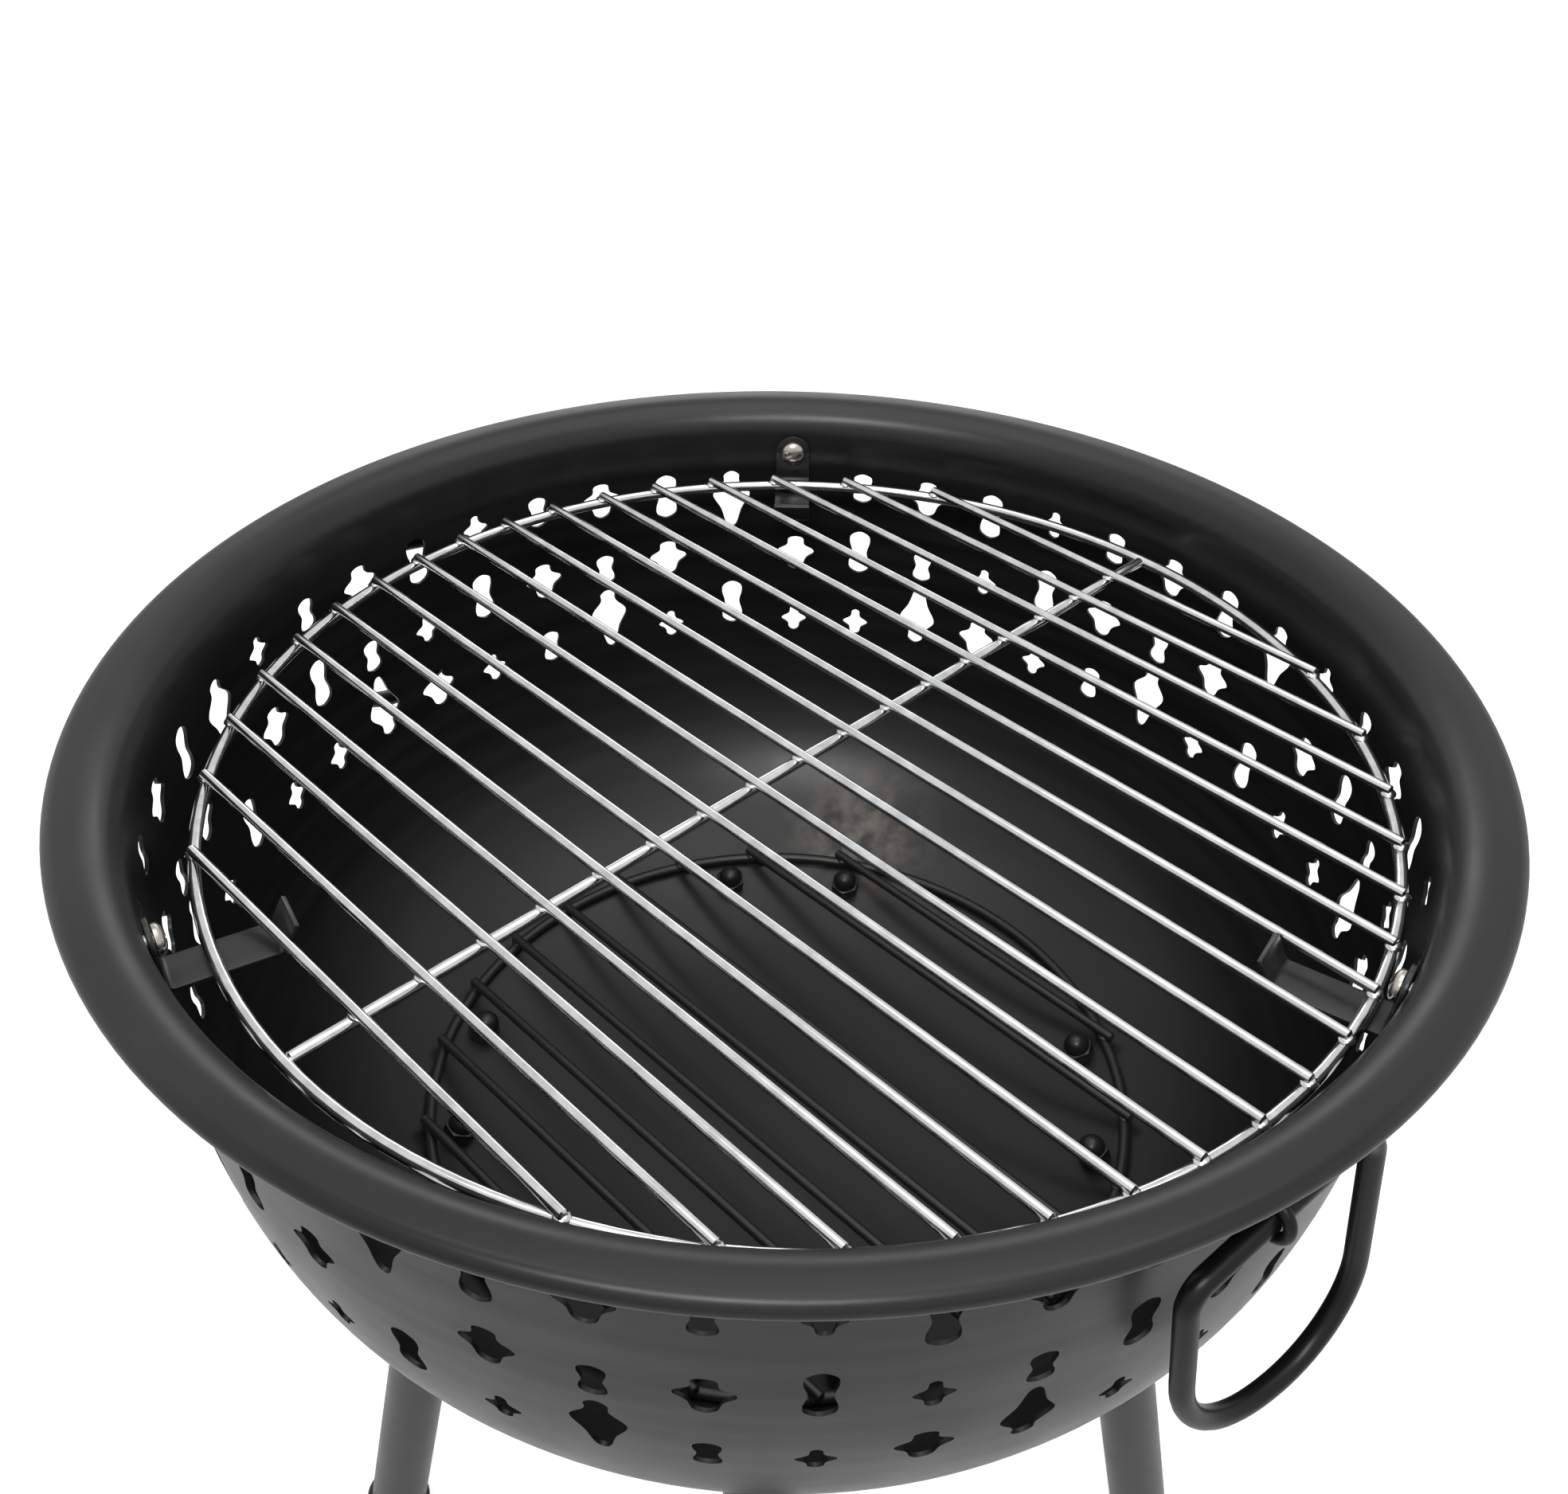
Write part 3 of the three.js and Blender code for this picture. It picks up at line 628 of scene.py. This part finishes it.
def inside_outline(point, outline):
    """Whether a line from the point to its right crosses the outline an odd number of times."""
    inside = False
    for a, b in zip(outline, outline[1:] + outline[:1]):
        if (a.y > point.y) != (b.y > point.y):
            if point.x < (b.x - a.x) * (point.y - a.y) / (b.y - a.y) + a.x:
                inside = not inside
    return inside


def in_opening(point, outlines):
    """Whether a point is inside any of the outlines; only those that start near it are tested."""
    for outline in outlines:
        away = outline[0] - point
        if abs(away.x) < 14 * MM and abs(away.y) < 36 * MM and inside_outline(point, outline):
            return True
    return False


def pierced_band():
    """Flat triangles of one repeat of the pierced band."""
    outlines = opening_outlines()
    steps_up = 18
    margin = 1.6 * MM
    points, edges = [], []
    for outline in outlines:
        start = len(points)
        points += outline
        edges += [(start + i, start + (i + 1) % len(outline)) for i in range(len(outline))]
    fixed = list(points)
    for i in range(SIDES_IN_REPEAT + 1):
        for j in range(steps_up + 1):
            level = BAND_LOW + (BAND_HIGH - BAND_LOW) * j / steps_up
            point = Vector((REPEAT_WIDTH * i / SIDES_IN_REPEAT, level))
            border = i in (0, SIDES_IN_REPEAT) or j in (0, steps_up)
            if border or min((point - p).length for p in fixed) > margin:
                points.append(point)
    result = delaunay_2d_cdt(points, edges, [], 0, 1e-7)
    verts, faces = result[0], result[2]
    kept = []
    for face in faces:
        centre = sum((verts[i] for i in face), Vector((0, 0))) / 3
        if not in_opening(centre, outlines):
            kept.append(face)
    return verts, kept


def on_border(p):
    """Whether a flat point is on the edge of its repeat, where no opening is."""
    edge = min(p.x, REPEAT_WIDTH - p.x, p.y - BAND_LOW, BAND_HIGH - p.y)
    return edge < 0.01 * MM


def opening_edges(flat, triangles):
    """Edges that only one triangle has, apart from those on the border of the repeat."""
    edges = dict.fromkeys(edge for face in triangles for edge in zip(face, face[1:] + face[:1]))
    free = [(a, b) for a, b in edges if (b, a) not in edges]
    return [(a, b) for a, b in free if not (on_border(flat[a]) and on_border(flat[b]))]


def rolled_up(radius, distance, z):
    """A point of the flat band, bent round the bowl."""
    angle = distance / BOWL_RADIUS
    return radius * math.cos(angle), radius * math.sin(angle), z


def band_skins():
    """Outer and inner skins of one repeat of the band, joined round each opening."""
    flat, triangles = pierced_band()
    outer, inner = [], []
    for p in flat:
        radius = wall_radius(p.y)
        inner_radius, inner_z = inside_of(radius, p.y)
        outer.append(rolled_up(radius, p.x, p.y))
        inner.append(rolled_up(inner_radius, p.x, inner_z))
    count = len(flat)
    faces = [list(f) for f in triangles]
    faces += [[count + i for i in reversed(f)] for f in triangles]
    faces += [[a, b, count + b, count + a] for a, b in opening_edges(flat, triangles)]
    return outer + inner, faces


def bowl_shell():
    """The pressed bowl: its pierced band, rim and bottom, closed into one sheet."""
    band = band_skins()
    turns = [about_z(BAND_START + 360 * repeat / REPEATS) for repeat in range(REPEATS)]
    parts = [moved(band, turn) for turn in turns]
    for section in (rim_section(), bottom_section()):
        ring = lathe(section, SIDES_IN_REPEAT * REPEATS)
        parts.append(moved(ring, about_z(BAND_START)))
    return joined(*parts)


def rim_section():
    """From the outer face above the openings, round the rolled edge, to the inner face."""
    inner_edge, under = RIM_RADIUS - 2 * BEAD, RIM_TOP - 2 * BEAD
    edge_return = 2 * BEAD - EDGE_ROUND
    edge = [
        (inner_edge, RIM_TOP - SHEET),
        *arc((inner_edge + EDGE_TURN, under + EDGE_TURN), EDGE_TURN, 180, 270, 6),
        *arc((RIM_RADIUS - edge_return, under + edge_return), edge_return, 270, 360, 4),
        *arc((RIM_RADIUS - EDGE_ROUND, RIM_TOP - EDGE_ROUND), EDGE_ROUND, 360, 450, 12),
    ]
    outer = [(wall_radius(z), z) for z in (BAND_HIGH, (BAND_HIGH + WALL_TOP) / 2)]
    inner = [inside_of(r, z) for r, z in reversed(outer)]
    return outer + rolled(0, 6) + edge + rolled(SHEET, 10)[::-1] + inner


def rolled(thickness, steps):
    """The quarter turn between wall and flange, that far inside the bowl's outer face."""
    width, rise = ROLL_WIDTH - SHEET + thickness, ROLL_RISE - SHEET + thickness
    foot = BOWL_RADIUS - thickness + width
    return [(foot - width * math.cos(a), RIM_TOP - ROLL_RISE + rise * math.sin(a))
            for a in (math.pi / 2 * i / steps for i in range(steps + 1))]


def bottom_section():
    """From the outer face below the openings to the bottom's middle, and back inside."""
    steps = 40
    start = math.asin(((WALL_TOP - BAND_LOW) / WALL_DEPTH) ** (FLOOR_SQUARENESS / 2))
    outer = []
    for i in range(steps + 1):
        angle = start + (math.pi / 2 - start) * (i / steps)
        radius = BOWL_RADIUS * max(math.cos(angle), 0) ** (2 / WALL_SQUARENESS)
        outer.append((radius, WALL_TOP - WALL_DEPTH * math.sin(angle) ** (2 / FLOOR_SQUARENESS)))
    outer[-1] = (0, outer[-1][1])
    inner = [inside_of(r, z) for r, z in outer[:-1]] + [(0, outer[-1][1] + SHEET)]
    return outer + inner[::-1]


def make_bowl():
    piece("bowl_skin", *bowl_shell(), "bowl_enamel", "fire_bowl", ["bowl"], sharp=50)


# ---------------------------------------------------------------- grates
def weld(place, width, height):
    """A small bead of weld metal."""
    angles = [math.radians(30 * i) for i in range(-2, 3)]
    section = [(width * math.cos(a), height * math.sin(a)) for a in angles]
    bead = lathe([(0, -height), *section, (0, height)], 10)
    return moved(bead, Matrix.Translation(place))


def bar_places(pitch, bars):
    """Where evenly spaced bars lie across a grate."""
    return [(i - (bars - 1) / 2) * pitch for i in range(bars)]


def ring_wires(radius, wire):
    steps = 144
    angles = [math.tau * i / steps for i in range(steps)]
    points = [(radius * math.cos(a), radius * math.sin(a), 0) for a in angles]
    return sweep(points, wire / 2, 16, closed=True)


def welded_grate(radius, wire, bar_wire, places, overhang):
    """A ring with bars welded across its top; the ring's middle is at height zero."""
    parts = [ring_wires(radius, wire)]
    level = (wire + bar_wire) / 2 - WELD_SINK
    seam = (wire - WELD_SINK) / 2
    for across in places:
        half = math.sqrt((radius + overhang) ** 2 - across ** 2)
        parts.append(bar((-half, across, level), (half, across, level), bar_wire / 2))
        reach = math.sqrt(radius ** 2 - across ** 2)
        for end in (-reach, reach):
            parts.append(weld((end, across, seam), WELD_WIDTH * wire, WELD_HEIGHT * wire))
    return parts


def grate_tie():
    """The wire that crosses under every bar, with a weld at each."""
    half = GRATE_RADIUS - GRATE_WIRE / 2 + WELD_SINK
    seam = (GRATE_WIRE - WELD_SINK) / 2
    parts = [bar((0, -half, 0), (0, half, 0), GRATE_WIRE / 2)]
    for across in bar_places(GRATE_PITCH, GRATE_BARS):
        parts.append(weld((0, across, seam), TIE_WELD_WIDTH * GRATE_WIRE, WELD_HEIGHT * GRATE_WIRE))
    return parts


def make_cooking_grate():
    places = bar_places(GRATE_PITCH, GRATE_BARS)
    parts = welded_grate(GRATE_RADIUS, GRATE_WIRE, GRATE_BAR, places, GRATE_OVERHANG)
    wires = joined(*parts, *grate_tie())
    place = about_z(BAR_DIRECTION) @ Matrix.Translation((*GRATE_SHIFT, GRATE_LEVEL))
    piece("cooking_grate_wires", *wires, "chrome_wire", "cooking_grate", ["cooking_grate"], place)


def make_charcoal_grate():
    places = bar_places(COAL_PITCH, COAL_BARS)
    wires = joined(*welded_grate(COAL_RADIUS, COAL_WIRE, COAL_BAR, places, COAL_OVERHANG))
    rest = (SHEET + GAP + COAL_WIRE / 2) / math.cos(bottom_slope(COAL_RADIUS))
    level = bottom_height(COAL_RADIUS) + rest
    place = about_z(BAR_DIRECTION) @ Matrix.Translation((0, 0, level))
    piece("charcoal_grate_wires", *wires, "black_wire", "charcoal_grate", ["charcoal_grate"], place)


# ---------------------------------------------------------------- brackets
def offset_line(points, distance):
    """An open line moved sideways; positive is to the left of its run."""
    moved_points = []
    for i, point in enumerate(points):
        run = Vector(points[min(i + 1, len(points) - 1)]) - Vector(points[max(i - 1, 0)])
        run.normalize()
        moved_points.append((point[0] - distance * run.y, point[1] + distance * run.x))
    return moved_points


def bracket_strip():
    """The bent strip in its own frame: +X outwards, width along Y."""
    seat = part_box("bracket_1")[1].y
    upright = seat - STRIP_THICKNESS / 2
    shelf = GRATE_LEVEL - GRATE_WIRE / 2 - GAP - STRIP_THICKNESS / 2
    lean = math.radians(LIP_LEAN)
    fold = SHELF_TIP + STRIP_BEND * math.tan((math.pi / 2 - lean) / 2)
    line = [
        (upright, SCREW_LEVEL),
        *arc((upright - STRIP_BEND, shelf + STRIP_BEND), STRIP_BEND, 0, -90, 6),
        *arc((fold, shelf + STRIP_BEND), STRIP_BEND, 270, 180 + LIP_LEAN, 5),
        (SHELF_TIP - LIP_LENGTH * math.sin(lean), shelf + LIP_LENGTH * math.cos(lean)),
    ]
    half = STRIP_THICKNESS / 2
    outline = offset_line(line, half) + offset_line(line, -half)[::-1]
    strip = prism(outline, -STRIP_WIDTH / 2, STRIP_WIDTH / 2)
    strip = moved(strip, about_x(90))
    tab = prism(arc((0, 0), STRIP_WIDTH / 2, 0, 180, 20), -STRIP_THICKNESS, 0)
    tab = moved(tab, Matrix.Translation((seat, 0, SCREW_LEVEL)) @ about_z(90) @ about_x(90))
    return joined(softened(strip, STRIP_EDGE), softened(tab, STRIP_EDGE))


def hexagon(flats):
    """A hexagon's corners, from its width across flats."""
    return arc((0, 0), flats / 2 / math.cos(math.pi / 6), 0, 300, 5)


def cut_out(thing, part):
    """Takes a part's volume out of an object."""
    cutter = add_object("cutter", clean_mesh("cutter", *part))
    modifier = thing.modifiers.new("cut", "BOOLEAN")
    modifier.operation = "DIFFERENCE"
    modifier.object = cutter
    evaluated = thing.evaluated_get(bpy.context.evaluated_depsgraph_get())
    cut = bpy.data.meshes.new_from_object(evaluated)
    thing.modifiers.clear()
    thing.data = cut
    bpy.data.objects.remove(cutter)


def pan_head():
    """Pan head with a cross recess; the head's underside is at height zero and it looks up."""
    side = [(HEAD_RADIUS - HEAD_EDGE, 0), (HEAD_RADIUS, HEAD_EDGE), (HEAD_RADIUS, HEAD_SIDE)]
    rise = HEAD_HEIGHT - HEAD_SIDE
    angles = [math.radians(15 * i) for i in range(1, 6)]
    crown = [(HEAD_RADIUS * math.cos(a), HEAD_SIDE + rise * math.sin(a)) for a in angles]
    section = [(0, 0), *side, *crown, (0, HEAD_HEIGHT)]
    head = add_object("pan", clean_mesh("pan", *lathe(section, 32)))
    x, y = RECESS_LENGTH / 2, RECESS_WIDTH / 2
    low, high = HEAD_HEIGHT - RECESS_DEPTH, HEAD_HEIGHT + RECESS_DEPTH
    slot = prism([(-x, -y), (x, -y), (x, y), (-x, y)], low, high)
    for turn in (45, 135):
        cut_out(head, moved(slot, about_z(turn)))
    verts = [v.co.copy() for v in head.data.vertices]
    faces = [list(f.vertices) for f in head.data.polygons]
    bpy.data.objects.remove(head)
    return verts, faces


def make_brackets():
    strip = bracket_strip()
    shank = bar((0, 0, -SCREW_LENGTH), (0, 0, 1 * MM), SCREW_RADIUS, 20)
    screw = joined(pan_head(), shank)
    nut = softened(prism(hexagon(SMALL_NUT_FLATS), -SMALL_NUT_HEIGHT, 0), SMALL_NUT_EDGE)
    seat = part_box("bracket_1")[1].y
    inner_face = Matrix.Translation((seat - STRIP_THICKNESS - GAP, 0, SCREW_LEVEL)) @ about_y(-90)
    outer_face = Matrix.Translation((BOWL_RADIUS + GAP, 0, SCREW_LEVEL)) @ about_y(-90)
    for i, direction in enumerate(BRACKET_DIRECTIONS):
        turn = about_z(direction)
        number = i + 1
        strip_node = [f"bracket_{number}"]
        screw_node = [f"bracket_screw_{number}"]
        nut_node = [f"bracket_nut_{number}"]
        at_head = turn @ inner_face
        at_nut = turn @ outer_face
        piece(f"bracket_strip_{number}", *strip, "blackened_steel", "fire_bowl", strip_node, turn)
        piece(f"pan_screw_{number}", *screw, "dark_nickel", "fire_bowl", screw_node, at_head)
        piece(f"hex_nut_{number}", *nut, "blackened_steel", "fire_bowl", nut_node, at_nut)


# ---------------------------------------------------------------- legs
def leg_axis(distance):
    """A point on the leg's centre line, that far up from the floor along it."""
    return Vector((LEG_FOOT_RADIUS - distance * math.sin(LEG_SPLAY), 0, distance * math.cos(LEG_SPLAY)))


def leg_ring(radius, distance_at):
    """A ring of points on a tube about the leg's line; distance_at gives each one's place along it."""
    along = leg_axis(1) - leg_axis(0)
    across = Vector((math.cos(LEG_SPLAY), 0, math.sin(LEG_SPLAY)))
    ring = []
    for k in range(LEG_SIDES):
        angle = math.tau * k / LEG_SIDES
        out = radius * (math.cos(angle) * across + math.sin(angle) * Vector((0, 1, 0)))
        ring.append(leg_axis(0) + out + along * distance_at(out))
    return ring


def cut_level(level):
    """Where a line beside the leg's axis meets a horizontal plane."""
    return lambda out: (level - out.z) / math.cos(LEG_SPLAY)


def cut_under_plate(out):
    """Where a line beside the leg's axis meets the underside of the leg's plate."""
    depth = PLATE_THICKNESS + 2 * GAP
    low, high = 0.2, 0.6
    for _ in range(30):
        middle = (low + high) / 2
        point = leg_axis(middle) + out
        radius = math.hypot(point.x, point.y)
        clear = bottom_height(radius) - depth / math.cos(bottom_slope(radius)) - point.z
        low, high = (middle, high) if clear > 0 else (low, middle)
    return low


def loft(rings):
    """A closed tube surface through rings of equal counts, from the first back to the first."""
    sides = len(rings[0])
    verts = [v for ring in rings for v in ring]
    faces = []
    for i in range(len(rings)):
        for k in range(sides):
            a, b = i * sides + k, i * sides + (k + 1) % sides
            j = (i + 1) % len(rings)
            faces.append([a, b, j * sides + (k + 1) % sides, j * sides + k])
    return verts, faces


def leg_tube():
    """The tube from its cap's floor up to its plate."""
    bottom = cut_level(CAP_FLOOR + GAP)
    bore = LEG_RADIUS - LEG_WALL
    return loft([
        leg_ring(LEG_RADIUS, bottom),
        leg_ring(LEG_RADIUS, cut_under_plate),
        leg_ring(bore, cut_under_plate),
        leg_ring(bore, bottom),
    ])


def leg_cap():
    """A plastic cup on the tube's end, cut level with the floor, with a rounded foot and lip."""
    bore = LEG_RADIUS + GAP
    outside = bore + CAP_WALL
    verts, faces = loft([
        leg_ring(outside - CAP_FOOT_EDGE, cut_level(0)),
        leg_ring(outside, cut_level(CAP_FOOT_EDGE)),
        leg_ring(outside, lambda out: CAP_HEIGHT - CAP_LIP_EDGE),
        leg_ring(outside - CAP_LIP_EDGE, lambda out: CAP_HEIGHT),
        leg_ring(bore, lambda out: CAP_HEIGHT),
        leg_ring(bore, cut_level(CAP_FLOOR)),
    ])
    last = len(verts) - LEG_SIDES
    faces = faces[:-LEG_SIDES]
    faces.append(list(range(LEG_SIDES))[::-1])
    faces.append([last + k for k in range(LEG_SIDES)])
    return verts, faces


def leg_plate():
    """A rounded plate that follows the underside of the bowl."""
    x, y = PLATE_LENGTH / 2 - PLATE_CORNER, PLATE_WIDTH / 2 - PLATE_CORNER
    corners = [(x, y, 0), (-x, y, 90), (-x, -y, 180), (x, -y, 270)]
    outline = [p for cx, cy, a in corners for p in arc((cx, cy), PLATE_CORNER, a, a + 90, 8)]
    count = len(outline)
    slope = bottom_slope(LEG_BOLT_CIRCLE)
    shares = (1, 0.8, 0.6, 0.4, 0.2)
    verts, faces = [], []

    def under(px, py, depth):
        """A point that deep under the bowl's outer face."""
        reach = LEG_BOLT_CIRCLE + px * math.cos(slope)
        radius = math.hypot(reach, py)
        angle = math.atan2(py, reach)
        tilt = bottom_slope(radius)
        r = radius + depth * math.sin(tilt)
        level = bottom_height(radius) - depth * math.cos(tilt)
        return r * math.cos(angle), r * math.sin(angle), level

    for depth in (GAP, GAP + PLATE_THICKNESS):
        for share in shares:
            verts += [under(px * share, py * share, depth) for px, py in outline]
        verts.append(under(0, 0, depth))
    layer = len(shares) * count + 1
    for base in (0, layer):
        for ring in range(len(shares) - 1):
            for k in range(count):
                a, b = base + ring * count + k, base + ring * count + (k + 1) % count
                faces.append([a, b, b + count, a + count])
        last = base + (len(shares) - 1) * count
        faces += [[last + k, last + (k + 1) % count, base + layer - 1] for k in range(count)]
    faces += [[k, (k + 1) % count, layer + (k + 1) % count, layer + k] for k in range(count)]
    return softened((verts, faces), FASTENER_EDGE)


def dome_nut():
    """Hexagon and dome of a cap nut, its base at height zero."""
    collar = softened(prism(hexagon(NUT_FLATS), 0, NUT_HEIGHT), FASTENER_EDGE)
    angles = [math.radians(10 * i) for i in range(1, 9)]
    crown = [(DOME_RADIUS * math.cos(a), DOME_START + DOME_HEIGHT * math.sin(a)) for a in angles]
    section = [
        (0, DOME_FOOT),
        (DOME_RADIUS, DOME_FOOT),
        (DOME_RADIUS, DOME_START),
        *crown,
        (0, DOME_START + DOME_HEIGHT),
    ]
    return joined(collar, lathe(section, 32))


def hex_bolt():
    """Hexagon head below height zero."""
    return softened(prism(hexagon(NUT_FLATS), -BOLT_HEIGHT, 0), FASTENER_EDGE)


def make_leg_fasteners(number, turn):
    """The two cap nuts inside the bowl and the two bolts under the plate of one leg."""
    slope = math.degrees(bottom_slope(LEG_BOLT_CIRCLE))
    level = bottom_height(LEG_BOLT_CIRCLE)
    seat = Matrix.Translation((LEG_BOLT_CIRCLE, 0, level)) @ about_y(-slope)
    above = Matrix.Translation((0, 0, SHEET + GAP))
    below = Matrix.Translation((0, 0, -PLATE_THICKNESS - 2 * GAP))
    for mark, side in (("a", -1), ("b", 1)):
        at = turn @ about_z(side * LEG_BOLT_ANGLE) @ seat
        nut_node = [f"dome_nut_{number}_{mark}"]
        bolt_node = [f"leg_bolt_{number}_{mark}"]
        nut_name = f"cap_nut_{number}_{mark}"
        bolt_name = f"hex_bolt_{number}_{mark}"
        piece(nut_name, *dome_nut(), "blackened_steel", "fire_bowl", nut_node, at @ above)
        piece(bolt_name, *hex_bolt(), "blackened_steel", "fire_bowl", bolt_node, at @ below)


def make_legs():
    tube, cap, plate = leg_tube(), leg_cap(), leg_plate()
    for leg in range(LEGS):
        turn = about_z(360 * leg / LEGS)
        number = leg + 1
        piece(f"leg_tube_{number}", *tube, "powder_coat", "fire_bowl", [f"leg_{number}"], turn)
        piece(f"foot_cup_{number}", *cap, "foot_plastic", "fire_bowl", [f"leg_cap_{number}"], turn)
        piece(f"saddle_{number}", *plate, "powder_coat", "fire_bowl", [f"leg_plate_{number}"], turn)
        make_leg_fasteners(number, turn)


# ---------------------------------------------------------------- handles
def handle_loop(slide):
    """The loop in its own plane, its bar along Y at height zero, one corner bent a little higher."""
    half, top, low = HANDLE_HALF_WIDTH, HANDLE_TOP_BEND, HANDLE_LOW_BEND
    lean = math.degrees(math.atan(HANDLE_SKEW / (half - top)))
    outline = [
        *arc((half - top, HANDLE_SKEW - top), top, 90 + lean, 0, 8),
        *arc((half - low, low - HANDLE_DEPTH), low, 0, -90, 16),
        *arc((low - half, low - HANDLE_DEPTH), low, 270, 180, 16),
        *arc((top - half, -HANDLE_SKEW - top), top, 180, 90 + lean, 8),
    ]
    return sweep([(0, y + slide, z) for y, z in outline], HANDLE_ROD, 20, closed=True)


def handle_eye():
    """A wire bent round the handle's bar, with both its ends on the wall."""
    bend = HANDLE_ROD + EYE_WIRE + EYE_PLAY
    wall = BOWL_RADIUS + GAP - HANDLE_RADIUS
    outline = [(wall, -bend), *arc((0, 0), bend, -90, 90, 16), (wall, bend)]
    return sweep([(x, 0, z) for x, z in outline], EYE_WIRE, 16)


def make_handles():
    eye = handle_eye()
    for i, direction in enumerate(HANDLE_DIRECTIONS):
        pivot = about_z(direction) @ Matrix.Translation((HANDLE_RADIUS, 0, HANDLE_LEVEL))
        hang = pivot @ about_x(HANDLE_ROLLS[i]) @ about_y(-HANDLE_SWING)
        loop = handle_loop(HANDLE_SLIDES[i])
        number = i + 1
        body = f"handle_{number}"
        piece(f"handle_rod_{number}", *loop, "powder_coat", body, [body], hang)
        piece(f"eye_wire_{number}", *eye, "powder_coat", "fire_bowl", [f"handle_eye_{number}"], pivot)


# ---------------------------------------------------------------- studio
def direct_view(tree):
    """1 for camera, mirror and see-through rays, and 0 for the light that falls on things."""
    path = tree.nodes.new("ShaderNodeLightPath")
    value = path.outputs["Is Camera Ray"]
    for name in ("Is Glossy Ray", "Is Transmission Ray"):
        either = tree.nodes.new("ShaderNodeMath")
        either.operation = "MAXIMUM"
        link(tree, value, either.inputs[0])
        link(tree, path.outputs[name], either.inputs[1])
        value = either.outputs[0]
    return value


def make_floor():
    """A large pale floor: white to the camera, bright in reflections, and darkened by shadow."""
    material = bpy.data.materials.new("studio_floor")
    material.use_nodes = True
    tree = material.node_tree
    tree.nodes.clear()
    output = tree.nodes.new("ShaderNodeOutputMaterial")
    diffuse = tree.nodes.new("ShaderNodeBsdfDiffuse")
    diffuse.inputs["Color"].default_value = (0.8, 0.8, 0.8, 1)
    glow = tree.nodes.new("ShaderNodeEmission")
    total = tree.nodes.new("ShaderNodeAddShader")
    strength = tree.nodes.new("ShaderNodeMath")
    seen = tree.nodes.new("ShaderNodeLightPath").outputs["Is Camera Ray"]
    link(tree, span(tree, direct_view(tree), 0, 1, 0, FLOOR_GLOW), strength.inputs[0])
    link(tree, span(tree, seen, 0, 1, 0, FLOOR_WHITE), strength.inputs[1])
    link(tree, strength.outputs[0], glow.inputs["Strength"])
    link(tree, diffuse.outputs[0], total.inputs[0])
    link(tree, glow.outputs[0], total.inputs[1])
    link(tree, total.outputs[0], output.inputs["Surface"])
    reach = FLOOR_SIZE
    corners = [(-reach, -reach, 0), (reach, -reach, 0), (reach, reach, 0), (-reach, reach, 0)]
    mesh = bpy.data.meshes.new("studio_floor")
    mesh.from_pydata(corners, [], [[0, 1, 2, 3]])
    mesh.materials.append(material)
    floor = add_object("studio_floor", mesh)
    floor.location.z = -FLOOR_DROP


def make_world():
    """White to the camera and in reflections, and a plain soft light on everything else."""
    world = bpy.data.worlds.new("studio")
    bpy.context.scene.world = world
    world.use_nodes = True
    tree = world.node_tree
    background = tree.nodes["Background"]
    background.inputs["Color"].default_value = (1, 1, 1, 1)
    link(tree, span(tree, direct_view(tree), 0, 1, WORLD_LIGHT, 1), background.inputs["Strength"])


def add_lamp(name, kind, place, energy):
    """A lamp that shines on the object and doesn't show itself to the camera."""
    data = bpy.data.lights.new(name, kind)
    data.energy = energy
    lamp = add_object(name, data)
    lamp.location = place
    lamp.visible_camera = False
    aim = Vector((0, 0, RIM_TOP)) - lamp.location
    lamp.rotation_euler = aim.to_track_quat("-Z", "Y").to_euler()
    return lamp


def add_panel(name, place, width, depth, energy):
    panel = add_lamp(name, "AREA", place, energy)
    panel.data.shape = "RECTANGLE"
    panel.data.size = width
    panel.data.size_y = depth


def make_lights():
    """Soft light from above that shows in no reflection, and three pale panels that edges catch."""
    sky = add_lamp("soft_sky", "SUN", place=(0, 0, 2.5), energy=0.4)
    sky.data.angle = math.radians(70)
    sky.visible_glossy = False
    add_panel("overhead_panel", place=(0.1, 0.1, 2.3), width=1.5, depth=1.5, energy=11)
    add_panel("front_panel", place=(-0.2, -1.5, 2.5), width=1.2, depth=0.5, energy=30)
    add_panel("back_panel", place=(-0.2, 3.2, 1.8), width=1.8, depth=0.7, energy=10)


def make_camera():
    """The photograph's view: close, from above the front of the rim, rolled a little."""
    data = bpy.data.cameras.new("camera")
    data.sensor_fit = "HORIZONTAL"
    data.sensor_width = 36
    data.lens = 37.1
    data.shift_x = 0.0011
    data.clip_start = 0.02
    data.clip_end = 60
    camera = add_object("camera", data)
    turn = about_z(CAMERA_HEADING) @ about_x(90 - CAMERA_LOOKS_DOWN) @ about_z(CAMERA_ROLL)
    camera.matrix_world = Matrix.Translation(CAMERA_PLACE) @ turn
    bpy.context.scene.camera = camera


# ---------------------------------------------------------------- making
make_camera()
make_bowl()
make_cooking_grate()
make_charcoal_grate()
make_brackets()
make_legs()
make_handles()
make_floor()
make_world()
make_lights()
bpy.context.scene.view_settings.view_transform = "Standard"
